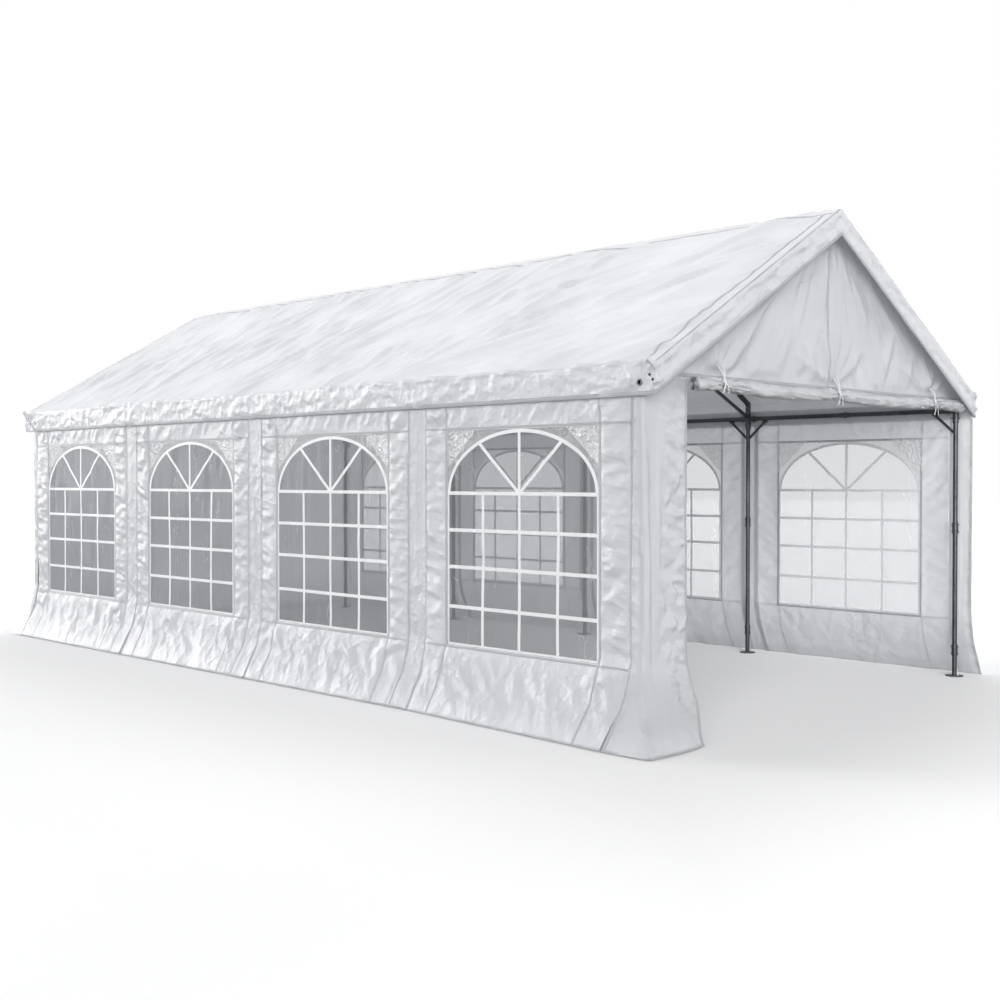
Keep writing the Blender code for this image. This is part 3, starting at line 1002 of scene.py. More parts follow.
@dataclass(frozen=True)
class GalvanisedTube:
    """Mild steel tube, dipped in zinc and rolled.

    Args:
        name: The material's name.
        zinc: Colour of the bright zinc.
        dull: Colour of the dulled zinc.
        spangle_mm: Size of the zinc's crystals.
    """

    name: str
    zinc: str = "#6A6E71"
    dull: str = "#484C4F"
    spangle_mm: float = 14.0

    def material(self) -> bpy.types.Material:
        """Grey metal whose crystals differ a little in shade and gloss."""
        recipe = Recipe(self.name)
        add = recipe.add
        place = add("TexCoord").outputs["Object"]
        spangle = add("TexVoronoi", {"Vector": place, "Scale": 1000 / self.spangle_mm})
        grey = add("RGBToBW", (spangle.outputs["Color"],))
        cloudy = add("TexNoise", {"Vector": place, "Scale": 3.0, "Detail": 4.0})
        shade = add("Math", (grey, 0.45, cloudy), operation="MULTIPLY_ADD")
        even = add("MapRange", {"Value": shade, "From Min": 0.35, "From Max": 1.0})
        colour = add("Mix", {0: even, 6: linear(self.dull), 7: linear(self.zinc)}, data_type="RGBA")
        rough = add("MapRange", {"Value": even, "To Min": 0.5, "To Max": 0.34})
        bump = add("Bump", {"Strength": 0.25, "Distance": 0.0004, "Height": grey})
        face = add("BsdfPrincipled", {"Base Color": colour.outputs[2], "Metallic": 1.0, "Roughness": rough,
                   "Normal": bump})
        return recipe.finish(face)


@dataclass(frozen=True)
class PlatedSteel:
    """Zinc-plated steel of bolts, and the nickel-plated brass of eyelets.

    Args:
        name: The material's name.
        bright: Colour of the plating.
        worn_plating_and_painted_floor_shadow: Colour where the plating has dulled.
    """

    name: str
    bright: str = "#9A9C9E"
    worn_plating_and_painted_floor_shadow: str = "#77797B"

    def material(self) -> bpy.types.Material:
        """Brighter and smoother than the tubes, with fine scuffs from the spanner or the press."""
        recipe = Recipe(self.name)
        add = recipe.add
        place = add("TexCoord").outputs["Object"]
        scuff = add("TexNoise", {"Vector": place, "Scale": 420.0, "Detail": 4.0, "Distortion": 1.5})
        colour = add("Mix", {0: scuff, 6: linear(self.bright), 7: linear(self.worn_plating_and_painted_floor_shadow)}, data_type="RGBA")
        rough = add("MapRange", {"Value": scuff, "To Min": 0.22, "To Max": 0.42})
        face = add("BsdfPrincipled", {"Base Color": colour.outputs[2], "Metallic": 1.0, "Roughness": rough})
        return recipe.finish(face)


@dataclass(frozen=True)
class TieStrap:
    """Flat woven polyester tape.

    Args:
        name: The material's name.
        white: Its colour.
        rib_mm: Distance between its ribs.
    """

    name: str
    white: str = "#E6E7EA"
    rib_mm: float = 3.0

    def material(self) -> bpy.types.Material:
        """Matt white with fine ribs across."""
        recipe = Recipe(self.name)
        add = recipe.add
        flat = add("TexCoord").outputs["UV"]
        rib = add("TexWave", {"Vector": flat, "Scale": 1000 / self.rib_mm / 20})
        bump = add("Bump", {"Strength": 0.5, "Distance": 0.0004, "Height": rib.outputs["Fac"]})
        colour = add("Mix", {0: rib.outputs["Fac"], 6: linear("#D5D6D9"), 7: linear(self.white)}, data_type="RGBA")
        face = add("BsdfPrincipled", {"Base Color": colour.outputs[2], "Roughness": 0.72, "Sheen Weight": 0.2,
                   "Normal": bump})
        return recipe.finish(face)


@dataclass
class Finishes:
    """All materials of the tent, each made once."""

    wall: bpy.types.Material = field(default_factory=CoatedCloth("coated_wall_cloth").material)
    roof: bpy.types.Material = field(default_factory=RoofCloth("coated_roof_cloth").material)
    seam: bpy.types.Material = field(default_factory=StitchedBand("stitched_double_cloth").material)
    film: bpy.types.Material = field(default_factory=ClearFilm("calendered_clear_film").material)
    bar: bpy.types.Material = field(default_factory=WeldedBar("welded_white_tape").material)
    tube: bpy.types.Material = field(default_factory=GalvanisedTube("dipped_zinc_tube").material)
    plated: bpy.types.Material = field(default_factory=PlatedSteel("plated_fastener").material)
    strap: bpy.types.Material = field(default_factory=TieStrap("woven_polyester_strap").material)
    # Near-black zinc for the disc in each eyelet: painted shade where the hole through the cloth would be
    dark: bpy.types.Material = field(
        default_factory=GalvanisedTube("painted_shadow_in_eyelet_holes", zinc="#1C1D1E", dull="#0E0F10").material)


def place_piece(piece: bpy.types.Object, slot: Slot, nodes: Sequence[str] = ()) -> None:
    """Ties a piece to the tent's body and hides the CAD nodes that it stands for."""
    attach(piece, "root")
    if nodes:
        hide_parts(*nodes)
    LOG.info("%s: %d faces", piece.name, len(piece.data.polygons))


@dataclass
class HangingSheet:
    """A sheet that hangs from the eaves along a line in plan and flares out over the ground.

    Args:
        name: The piece's name.
        node: The CAD node that it stands for.
        plan: Its line in plan.
        finishes: The tent's materials.
        rods: The tubes that it lies over.
        seed: Gives it its own creases.
        strength: How deep its folds are.
        step: Size of its cells.
        folds: Its single creases, in distance along the plan and height.
        breaks: Distances along the plan that must have points.
        seams: Both ends of each seam, in the same two coordinates.
        cut_back: How far its ends draw in at the hem, at the start and at the end.
        strips: Upright strips of the cloth that are drawn together between seams.
        wide: How much further the skirt reaches out, at the start and at the end.
        cushion_pitch: Height of one cushion of such a strip.
        cushion_rise: How far the cushions stand out.
        hem_rise: Height of the hem over the ground.
        upright_share: Share of upright creases beside such strips.
    """

    name: str
    node: str
    plan: Track
    finishes: Finishes
    rods: Sequence[Rod]
    seed: int
    strength: float = 1.0
    step: float = 0.015
    folds: list[Fold] = field(default_factory=list)
    breaks: list[float] = field(default_factory=list)
    seams: list[list[Pair]] = field(default_factory=list)
    cut_back: Pair = (0.0, 0.0)
    strips: list[Pair] = field(default_factory=list)
    wide: Pair = (1.0, 1.0)
    cushion_pitch: float = 0.155
    cushion_rise: float = 0.029
    hem_rise: float = 0.0015
    upright_share: float = 0.25

    def __post_init__(self) -> None:
        """Sets the line that the cloth follows from the eave down to the hem, as distance out and height."""
        self.profile = Track(
            [(0.0, TENT.wall_top), (0.0, 0.49), (0.045, 0.27), (TENT.skirt_reach, self.hem_rise)], [0.5, 0.8])
        self.bend = TENT.wall_top - TENT.skirt_height
        self.grain = Grain(self.seed)
        self.rng = np.random.default_rng(self.seed)

    def lift(self, s: Array, t: Array) -> Array:
        """How far the cloth stands out from its line.

        Args:
            s: Distance along the plan.
            t: Distance down the cloth.

        Returns:
            The distance, outwards.
        """
        z = TENT.wall_top - t
        soft = self.grain.creased(s / 0.34, z / 0.42) * 0.006 + self.grain.at(s / 0.9, z / 1.1) * 0.004
        total = (soft + all_folds(self.folds, s, z)) * self.strength
        total = np.clip(total + self.cushions(s, z), -0.018, 0.036)
        skirt = self.skirt(t)
        ripple = 0.007 * (1 + self.grain.at(s / 0.16, t / 0.4))
        total = np.maximum(total * (1 - 0.45 * skirt), -0.02 * (1 - skirt)) + ripple * skirt
        return total * (1 - 0.7 * self.crowded(z))

    def skirt(self, t: Array) -> Array:
        """Rises from 0 on the wall to 1 on the skirt."""
        return smooth_step(t, self.bend - 0.05, self.bend + 0.08)

    @staticmethod
    def crowded(z: Array) -> Array:
        """Rises to 1 where the eave rail inside and the valance outside leave little room."""
        return smooth_step(z, 2.02, 2.10)

    def cushions(self, s: Array, z: Array) -> Array:
        """Soft cushions between upright seams that have drawn the cloth together.

        Args:
            s: Distance along the plan.
            z: Height.

        Returns:
            Their height, outwards.
        """
        total = np.zeros(np.shape(s))
        for number, (low, high) in enumerate(self.strips):
            across = np.sin(math.pi * np.clip((s - low) / (high - low), 0, 1)) ** 0.7
            wander = self.grain.at(s / 0.3 + 7 * number, z / 0.4)
            slanted = z + (0.45 - 0.8 * (number % 2)) * (s - low) + 0.06 * wander
            wave = np.abs(np.sin(math.pi * (z / self.cushion_pitch + 0.9 * wander + 0.37 * number)))
            deep = 0.8 + 0.7 * self.grain.at(z / 0.26 + 3 * number, s / 0.4)
            below = smooth_step(z, 0.2, 0.4) * (1 - smooth_step(z, 2.0, 2.12))
            loose = self.grain.creased(slanted / 0.20 + 5 * number, s / 0.42, 2)
            total += across * (0.22 * (wave ** 0.8 - 0.35) + loose) * self.cushion_rise * deep * below
        return total

    def spread(self, s: Array) -> Array:
        """How much wider than usual the skirt is laid out."""
        return np.interp(s / self.plan.total, [0.0, 1.0], self.wide)

    def fade(self, s: Array, t: Array) -> Array:
        """Share of the folds that is left near what holds the cloth."""
        return np.ones(np.shape(s))

    def sway(self, s: Array, t: Array) -> Array:
        """How far points are pulled sideways along the plan."""
        return np.zeros(np.shape(s))

    def corner_stations(self) -> list[float]:
        """Close stations where the plan goes round a post."""
        turning = np.diff(self.plan.points, axis=0)
        short = np.linalg.norm(turning, axis=1) < 0.006
        return [float(length) for length, near in zip(self.plan.lengths[1:], short) if near]

    def position(self, s: Array, t: Array, off: float = 0.0) -> Array:
        """Where points of the sheet hang.

        Args:
            s: Distance along the plan.
            t: Distance down the cloth.
            off: Distance in front of its middle.

        Returns:
            The points.
        """
        skirt = smooth_step(t, self.bend - 0.06, self.profile.total)
        start = self.cut_back[0] * skirt * (1 - smooth_step(s, 0.0, 0.3))
        end = self.cut_back[1] * skirt * smooth_step(s, self.plan.total - 0.3, self.plan.total)
        x, y, out_x, out_y = self.plan.at(s + start - end + self.sway(s, t))
        out, z, lean, rise = self.profile.at(t)
        stand = self.lift(s, t) * self.fade(s, t)
        square = 1 / np.maximum(np.maximum(np.abs(out_x), np.abs(out_y)), 0.5)
        reach = out * self.spread(s) * square + (stand + off) * lean
        points = np.stack([x - out_x * reach, y - out_y * reach, z + (stand + off) * rise], axis=-1)
        flat = points.reshape(-1, 3)
        return clear_of_frame(flat, self.rods).reshape(points.shape)

    def seam_line(self, line: Sequence[Pair]) -> tuple[Array, Array]:
        """A seam's points on the cloth, and the directions that they face.

        Args:
            line: Both ends of the seam in distance along the plan and height.

        Returns:
            The points and their directions.
        """
        track = Track([(s, self.down(z)) for s, z in line], [])
        lengths = np.linspace(0, track.total, max(2, int(track.total / 0.02)))
        s, t, _, _ = track.at(lengths)
        centre = self.position(s, t, TENT.seam_off)
        facing = self.position(s, t, TENT.seam_off + 0.01) - centre
        return centre, facing / np.maximum(np.linalg.norm(facing, axis=1), 1e-9)[:, None]

    @staticmethod
    def upright_seams(*places: float) -> list[list[Pair]]:
        """Seams that run from under the valance down to the hem."""
        return [[(place, TENT.seam_top), (place, 0.0)] for place in places]

    def down(self, z: float) -> float:
        """Distance down the cloth to a height, or to its hem for a height of 0."""
        return TENT.wall_top - z if z > TENT.skirt_height else self.profile.total - 0.004

    def opening(self, s: Array, z: Array) -> Array:
        """Which cells are cut out."""
        return np.zeros(np.shape(s), dtype=bool)

    def creasing(self, s: Array, t: Array) -> Array:
        """Share of the level, the upright and the crumpled creases at each point."""
        cloudy = np.clip(0.6 + 0.5 * self.grain.at(s / 0.5, t / 0.6), 0.15, 1.0) * self.strength
        level = np.zeros(np.shape(s))
        for low, high in self.strips:
            inside = smooth_step(s, low - 0.01, low + 0.02) * (1 - smooth_step(s, high - 0.02, high + 0.01))
            level = np.maximum(level, inside)
        level = level * smooth_step(TENT.wall_top - t, 0.35, 0.5)
        return np.stack([level * cloudy, (1 - level) * self.upright_share * cloudy,
                         (1 - 0.6 * level) * (1 - self.upright_share) * cloudy], axis=-1)

    def build(self) -> bpy.types.Object:
        """Makes the sheet with its seams.

        Returns:
            The piece.
        """
        s_stations = spaced([0.0, *self.breaks, self.plan.total], self.step)
        heights = [TENT.wall_top, TENT.window_top, TENT.window_bottom]
        t_breaks = [TENT.wall_top - z for z in heights] + [self.bend - 0.04, self.bend + 0.05, self.profile.total]
        t_stations = spaced(t_breaks, self.step)
        t, s = np.meshgrid(t_stations, s_stations, indexing="ij")
        middle_s = (s[:-1, :-1] + s[1:, 1:]) / 2
        middle_z = TENT.wall_top - (t[:-1, :-1] + t[1:, 1:]) / 2
        keep = ~self.opening(middle_s, middle_z)
        quads = grid_quads(len(t_stations), len(s_stations), keep)
        points = self.position(s.ravel(), t.ravel())
        mesh = Mesh()
        mesh.add_sheet(points, quads, np.stack([s.ravel(), t.ravel()], axis=1), self.creasing(s.ravel(), t.ravel()))
        for line in [*self.seams, [(0.0, 0.0), (self.plan.total, 0.0)]]:
            mesh.add_seam(*self.seam_line(line))
        piece = mesh.build(self.name, [self.finishes.wall, self.finishes.seam])
        place_piece(piece, Slot.WALL, [self.node] if self.node else [])
        return piece


def pucker_row(rng: np.random.Generator, seam: float, direction: float, low: float, high: float,
               reach: float, rise: float, pitch: float = 0.085) -> list[Fold]:
    """Short creases that run sideways from an upright seam which has pulled in.

    Args:
        rng: Draws their places.
        seam: Where the seam is along the plan.
        direction: 1 or -1, the side on which they lie.
        low: Height of the lowest.
        high: Height of the highest.
        reach: Their length.
        rise: Their height.
        pitch: Distance between them.

    Returns:
        The creases.
    """
    folds = []
    height = low + rng.uniform(0, pitch)
    while height < high:
        length = reach * rng.uniform(0.6, 1.15)
        tilt = rng.uniform(-0.3, 0.3) * length
        folds.append(Fold(
            (seam + direction * 0.004, height), (seam + direction * length, height + tilt),
            rng.uniform(0.014, 0.024), rise * rng.uniform(0.5, 1.2), peak=rng.uniform(0.12, 0.4),
            bow=rng.uniform(-0.02, 0.02)))
        height += pitch * rng.uniform(0.7, 1.4)
    return folds


@dataclass
class SidePanel(HangingSheet):
    """One bay of a long wall with its window opening.

    Args:
        left_strip: Width of the cloth to the left of the window.
        right_strip: Width of the cloth to its right.
        left_lap: Whether its left edge lies over a post, under a lap.
        right_lap: The same for its right edge.
    """

    left_strip: float = 0.32
    right_strip: float = 0.32
    left_lap: bool = True
    right_lap: bool = True

    def __post_init__(self) -> None:
        """Draws the panel's seams and creases."""
        super().__post_init__()
        rng, width = self.rng, self.plan.total
        start, end = self.left_strip, width - self.right_strip
        bottom, top = TENT.window_bottom, TENT.window_top
        self.window = (start, end)
        self.breaks = [start, end]
        self.seams = self.upright_seams(start - 0.014, end + 0.014)
        self.seams += [[(0.0, height), (width, height)] for height in (top + 0.014, bottom - 0.014)]
        left_edge, right_edge = 0.05 if self.left_lap else 0.01, width - (0.05 if self.right_lap else 0.01)
        self.strips = [(left_edge, start - 0.012), (end + 0.012, right_edge)]
        for seam, direction in ((start - 0.02, -1), (left_edge, 1), (end + 0.02, 1), (right_edge, -1)):
            self.folds += pucker_row(rng, seam, direction, 0.35, 2.08, 0.12, 0.008)
        self.folds += self.under_window(rng, start, end, bottom)
        self.folds += self.over_window(rng, width, top)

    @staticmethod
    def under_window(rng: np.random.Generator, start: float, end: float, bottom: float) -> list[Fold]:
        """Slanting folds from the window's foot down to the skirt."""
        folds = []
        for place in np.linspace(start - 0.2, end + 0.05, 12):
            first = place + rng.uniform(-0.05, 0.05)
            foot = rng.uniform(0.0, 0.16)
            folds.append(Fold.drawn(rng, (first, bottom - rng.uniform(0.0, 0.1)),
                                    (first + rng.uniform(0.08, 0.45), foot), (0.030, 0.060), (0.006, 0.016),
                                    peak=(0.2, 0.6), bow=(-0.04, 0.04)))
        for place, way in ((start, -1), (start, 1), (end, -1), (end, 1)):
            for reach in (0.05, 0.18):
                foot = (place + way * (reach + rng.uniform(0.0, 0.08)), bottom - 0.3)
                folds.append(Fold.drawn(rng, (place, bottom - 0.02), foot, 0.030, (0.005, 0.009), peak=0.25))
        return folds

    @staticmethod
    def over_window(rng: np.random.Generator, width: float, top: float) -> list[Fold]:
        """Slanting folds between the window's head and the eave."""
        folds = []
        for place in np.arange(0.04, width - 0.06, 0.075):
            first = place + rng.uniform(-0.03, 0.03)
            lean = rng.uniform(0.06, 0.24) * (1 if first > width * 0.35 else rng.choice([-1, 1]))
            folds.append(Fold.drawn(rng, (first, top + 0.02), (first + lean, 2.18), (0.018, 0.034), (0.006, 0.014),
                                    peak=(0.4, 0.8)))
        return folds

    def opening(self, s: Array, z: Array) -> Array:
        """The window's rectangle."""
        start, end = self.window
        return (s > start) & (s < end) & (z > TENT.window_bottom) & (z < TENT.window_top)

    def fade(self, s: Array, t: Array) -> Array:
        """Flat along the window's edge and over the posts."""
        start, end = self.window
        z = TENT.wall_top - t
        off_s = np.maximum(np.maximum(start - s, s - end), 0.0)
        off_z = np.maximum(np.maximum(TENT.window_bottom - z, z - TENT.window_top), 0.0)
        window = smooth_step(np.hypot(off_s, off_z), 0.0, 0.05)
        post = np.ones(np.shape(s))
        if self.left_lap:
            post = post * smooth_step(s, 0.035, 0.08)
        if self.right_lap:
            post = post * smooth_step(self.plan.total - s, 0.035, 0.08)
        skirt = smooth_step(t, self.bend - 0.1, self.bend)
        return window * np.maximum(0.05 + 0.95 * post, 0.6 * skirt)


@dataclass
class JointBand(HangingSheet):
    """The lap of one panel over the next, stretched over a post.

    Args:
        lift_off: Distance of its middle from the panels' middle.
    """

    lift_off: float = 0.0028

    def __post_init__(self) -> None:
        """Draws the lap's stitched edge and its few folds."""
        super().__post_init__()
        rng, width = self.rng, self.plan.total
        self.seams = self.upright_seams(0.012)
        for height in np.arange(0.3, 2.1, 0.11):
            first = height + rng.uniform(-0.03, 0.03)
            self.folds.append(Fold.drawn(rng, (0.0, first), (rng.uniform(0.04, 0.09),
                                         first + rng.uniform(-0.02, 0.02)), 0.014, (0.002, 0.005), peak=0.2))
        self.folds.append(Fold((width * 0.45, 2.1), (width * 0.55, 0.3), 0.02, 0.003, peak=0.5))

    def lift(self, s: Array, t: Array) -> Array:
        """Close to the panels, with its free edge curled off them."""
        z = TENT.wall_top - t
        free = smooth_step(s, self.plan.total - 0.03, self.plan.total) * 0.0012
        own = np.clip(all_folds(self.folds, s, z), 0.0, 0.01) + 0.0015 * (1 + self.grain.at(s / 0.1, z / 0.3))
        skirt = self.skirt(t)
        ripple = 0.006 * (1 + self.grain.at(s / 0.16, t / 0.4)) + 0.004
        return self.lift_off + (own + free) * (1 - skirt) * (1 - 0.5 * self.crowded(z)) + ripple * skirt


@dataclass
class CornerFlap(HangingSheet):
    """Cloth that is wrapped round or hangs loose at a corner post.

    Args:
        upright: Place along the plan and rise of each upright fold.
        edge_puckers: Whether its hems have drawn in.
        rough_from: Where the crumpled part towards the free hem begins.
    """

    upright: Sequence[Pair] = ()
    edge_puckers: bool = True
    rough_from: float = 0.26

    def __post_init__(self) -> None:
        """Draws the upright folds and the puckered hems."""
        super().__post_init__()
        rng, width = self.rng, self.plan.total
        self.seams = self.upright_seams(0.014, width - 0.014)
        for place, rise in self.upright:
            self.folds.append(Fold((place, 2.16), (place + rng.uniform(-0.02, 0.03), 0.12),
                                   rng.uniform(0.018, 0.030), rise, peak=rng.uniform(0.3, 0.7),
                                   bow=rng.uniform(-0.012, 0.012)))
        self.breaks = self.corner_stations()
        if self.edge_puckers:
            self.strips = [(self.rough_from - 0.02, width - 0.012)]
            self.folds += pucker_row(rng, width - 0.015, -1, 0.2, 2.1, 0.16, 0.013, pitch=0.13)
            self.folds += pucker_row(rng, 0.02, 1, 0.2, 2.1, 0.05, 0.007, pitch=0.09)
            for _ in range(14):
                place, height = rng.uniform(self.rough_from - 0.02, width - 0.06), rng.uniform(0.15, 2.0)
                way = rng.choice([-1, 1])
                end = (place + way * rng.uniform(0.05, 0.12), height + rng.uniform(0.08, 0.22))
                self.folds.append(Fold.drawn(rng, (place, height), end, (0.018, 0.030), (0.010, 0.020), peak=0.4))

    def sway(self, s: Array, t: Array) -> Array:
        """The free hem is drawn in between its puckers."""
        if not self.edge_puckers:
            return super().sway(s, t)
        near = smooth_step(s, self.plan.total - 0.09, self.plan.total)
        return -near * (0.002 + 0.004 * np.abs(self.grain.creased(t / 0.16, s * 0 + 3.0)))

    def creasing(self, s: Array, t: Array) -> Array:
        """Upright over the corner, crumpled towards the free hem."""
        free = smooth_step(s, self.rough_from - 0.08, self.rough_from + 0.06)
        near_seam = 1 - smooth_step(s, 0.03, 0.08)
        crumpled = np.clip(free + near_seam, 0, 1)
        return np.stack([0.4 * free, 0.22 * (1 - crumpled), 0.11 + 0.45 * crumpled], axis=-1) * self.strength


@dataclass
class RearWall(HangingSheet):
    """The closed wall of the rear gable, in one sheet round both corner posts."""

    def __post_init__(self) -> None:
        """Draws the seams of its three widths and its creases."""
        super().__post_init__()
        rng, width = self.rng, self.plan.total
        thirds = [width / 2 - 0.66, width / 2 + 0.66]
        self.breaks = self.corner_stations()
        self.seams = self.upright_seams(0.014, *thirds, width - 0.014)
        for place in thirds:
            self.folds += pucker_row(rng, place + 0.01, 1, 0.25, 2.1, 0.2, 0.008)
            self.folds += pucker_row(rng, place - 0.01, -1, 0.25, 2.1, 0.2, 0.008)
        for place in np.linspace(0.3, width - 0.3, 16):
            first = place + rng.uniform(-0.1, 0.1)
            self.folds.append(Fold.drawn(rng, (first, rng.uniform(1.6, 2.1)), (first + rng.uniform(-0.35, 0.35), 0.3),
                                         (0.03, 0.05), (0.004, 0.01), peak=0.4, bow=(-0.06, 0.06)))
        for place in (0.12, 0.17, width - 0.17, width - 0.12):
            self.folds.append(Fold((place, 2.1), (place + 0.01, 0.2), 0.018, 0.006, peak=0.5))


@dataclass
class WindowFilm:
    """A sheet of clear film behind a window opening, with white bars welded to both its faces.

    Args:
        side: Which wall it is in.
        bay: Number of the bay from the front.
        finishes: The tent's materials.
        seed: Gives it its own ripples.
        lap: How far it reaches behind the cloth round the opening.
        inner: Distance of its middle from the tent's middle.
        film: Its thickness.
        bar_width: Width of the bars.
        edge_width: Width of the bars along the edge of the opening.
        rows: Heights of the level bars.
        reach: Where the slanting bars end, as a share of half the window's width.
        step: Size of its cells.
    """

    side: Side
    bay: int
    finishes: Finishes
    seed: int
    lap: float = 0.018
    inner: float = 2.0233
    film: float = 0.0008
    bar_width: float = 0.024
    edge_width: float = 0.014
    rows: tuple[float, ...] = (0.73, 1.00, 1.25)
    reach: float = 0.565
    step: float = 0.025

    def __post_init__(self) -> None:
        """Finds the window's middle."""
        self.centre = TENT.frame_lines[self.bay - 1] + TENT.bay / 2
        self.grain = Grain(self.seed)
        rng = np.random.default_rng(self.seed)
        self.creases = []
        for _ in range(7):
            first, top = rng.uniform(-0.6, 0.6), rng.uniform(1.2, 1.88)
            foot = (first + rng.uniform(-0.1, 0.1), top - rng.uniform(0.3, 0.7))
            self.creases.append(Fold.drawn(rng, (first, top), foot, (0.02, 0.035), (-0.006, -0.003), 0.4))

    def position(self, c: Array, z: Array, off: float = 0.0) -> Array:
        """Where points of the film are.

        Args:
            c: Distance along the wall from the window's middle.
            z: Height.
            off: Distance in front of its middle, outwards.

        Returns:
            The points.
        """
        edge = np.minimum(TENT.window_half - np.abs(c), np.minimum(z - TENT.window_bottom, TENT.window_top - z))
        free = smooth_step(edge, 0.0, 0.12)
        sway = self.grain.at(c / 0.13, z / 0.75) * 0.0045 + self.grain.at(c / 0.5, z / 0.6) * 0.005
        inwards = (np.clip(sway + all_folds(self.creases, c, z), -0.012, 0.012) - 0.002) * free
        x = self.side.value * (self.inner + inwards + off)
        return np.stack([x, self.centre + c, z], axis=-1)

    def bar(self, mesh: Mesh, line: Sequence[Pair], width: float) -> None:
        """Adds one white bar along a line, on both faces of the film."""
        c, z = np.array(line).T
        if len(line) == 2:
            track = Track(line, [])
            c, z, _, _ = track.at(np.linspace(0, track.total, max(2, int(track.total / 0.03))))
        for face in (1, -1):
            centre = self.position(c, z, face * (self.film / 2 + 0.0007))
            facing = np.tile([float(face * self.side.value), 0.0, 0.0], (len(centre), 1))
            mesh.add_strip(centre, facing, width, 0.001, laid_on=True)

    def build(self) -> None:
        """Makes the film and its bars."""
        word = f"{self.side.name.lower()}_{self.bay}"
        half, bottom, top, spring = TENT.window_half, TENT.window_bottom, TENT.window_top, TENT.window_spring
        c_stations = spaced([-half - self.lap, -half, half, half + self.lap], self.step)
        z_stations = spaced([bottom - self.lap, bottom, top, top + self.lap], self.step)
        z, c = np.meshgrid(z_stations, c_stations, indexing="ij")
        quads = grid_quads(len(z_stations), len(c_stations))
        if self.side is Side.RIGHT:
            quads = quads[:, ::-1]
        sheet = Mesh()
        sheet.add(self.position(c.ravel(), z.ravel()), quads, flat=np.stack([c.ravel(), z.ravel()], axis=1))
        film = sheet.build(f"film_{word}", [self.finishes.film])
        place_piece(film, Slot.FILM, [f"window_sheet_{word}"])
        bars = Mesh()
        edge = self.edge_width / 2
        inner = half - self.bar_width / 2
        for place in (-half + edge, half - edge):
            self.bar(bars, [(place, bottom), (place, spring)], self.edge_width)
        self.bar(bars, [(-half, bottom + edge), (half, bottom + edge)], self.edge_width)
        for height in (*self.rows, spring):
            self.bar(bars, [(-half, height), (half, height)], self.bar_width)
        for share in (-0.5, 0.0, 0.5):
            self.bar(bars, [(share * half, bottom), (share * half, spring)], self.bar_width)
        rise = top - spring - self.bar_width / 2
        arch = [(inner * math.cos(a), spring + rise * math.sin(a)) for a in np.linspace(0, math.pi, 72)]
        self.bar(bars, arch, self.bar_width)
        self.bar(bars, [(0.0, spring), (0.0, spring + rise)], self.bar_width)
        height = rise * math.sqrt(1 - self.reach ** 2)
        for way in (-1, 1):
            self.bar(bars, [(0.0, spring), (way * inner * self.reach, spring + height)], self.bar_width)
        grid = bars.build(f"window_bars_{word}", [self.finishes.bar])
        place_piece(grid, Slot.WALL)


@dataclass
class LongWall:
    """The four panels, laps and windows of one long side.

    Args:
        side: Which side it is.
        finishes: The tent's materials.
        rods: The frame's tubes.
        strength: How deep its folds are.
        lap_half: Half the width of the laps over the inner posts.
        under_lap: How far a panel runs on under a lap.
    """

    side: Side
    finishes: Finishes
    rods: Sequence[Rod]
    strength: float
    lap_half: float = 0.095
    under_lap: float = 0.045

    def run(self, low: float, high: float) -> Track:
        """The plan of a sheet between two places along Y, seen from outside from left to right."""
        x = self.side.value * (TENT.half_width + TENT.wall_line)
        ends = [(x, high), (x, low)] if self.side is Side.LEFT else [(x, low), (x, high)]
        return Track(ends, [])

    def build(self) -> None:
        """Makes all sheets of the wall."""
        word = self.side.name.lower()
        left = self.side is Side.LEFT
        for bay in range(1, TENT.bays + 1):
            low, high = TENT.frame_lines[bay - 1], TENT.frame_lines[bay]
            front, rear = bay == 1, bay == TENT.bays
            at_corner, at_lap = TENT.corner_seam + 0.0005, self.lap_half - self.under_lap
            first, last = low + (at_corner if front else at_lap), high - (at_corner if rear else at_lap)
            middle = (low + high) / 2
            strips = (middle - TENT.window_half - first, last - middle - TENT.window_half)
            towards_front, towards_rear = (0.008 if front else 0.02), (0.008 if rear else 0.0)
            panel = SidePanel(
                f"panel_{word}_{bay}", f"side_wall_{word}_{bay}", self.run(first, last), self.finishes, self.rods,
                seed=100 * bay + (7 if left else 57), strength=self.strength,
                cut_back=(towards_rear, towards_front) if left else (towards_front, towards_rear),
                wide=(1.0, 1.5) if left and front else (1.0, 1.0), hem_rise=0.010 if left else 0.0015,
                left_strip=strips[1] if left else strips[0], right_strip=strips[0] if left else strips[1],
                left_lap=not (rear if left else front), right_lap=not (front if left else rear))
            piece = panel.build()
            WindowFilm(self.side, bay, self.finishes, seed=31 * bay + (3 if left else 11)).build()
        for number in range(1, TENT.bays):
            line = TENT.frame_lines[number]
            band = JointBand(
                f"lap_{word}_{number}", "", self.run(line - self.lap_half, line + self.lap_half), self.finishes,
                self.rods, seed=900 + number + (0 if left else 40), strength=self.strength,
                hem_rise=0.010 if left else 0.0015)
            lap = band.build()


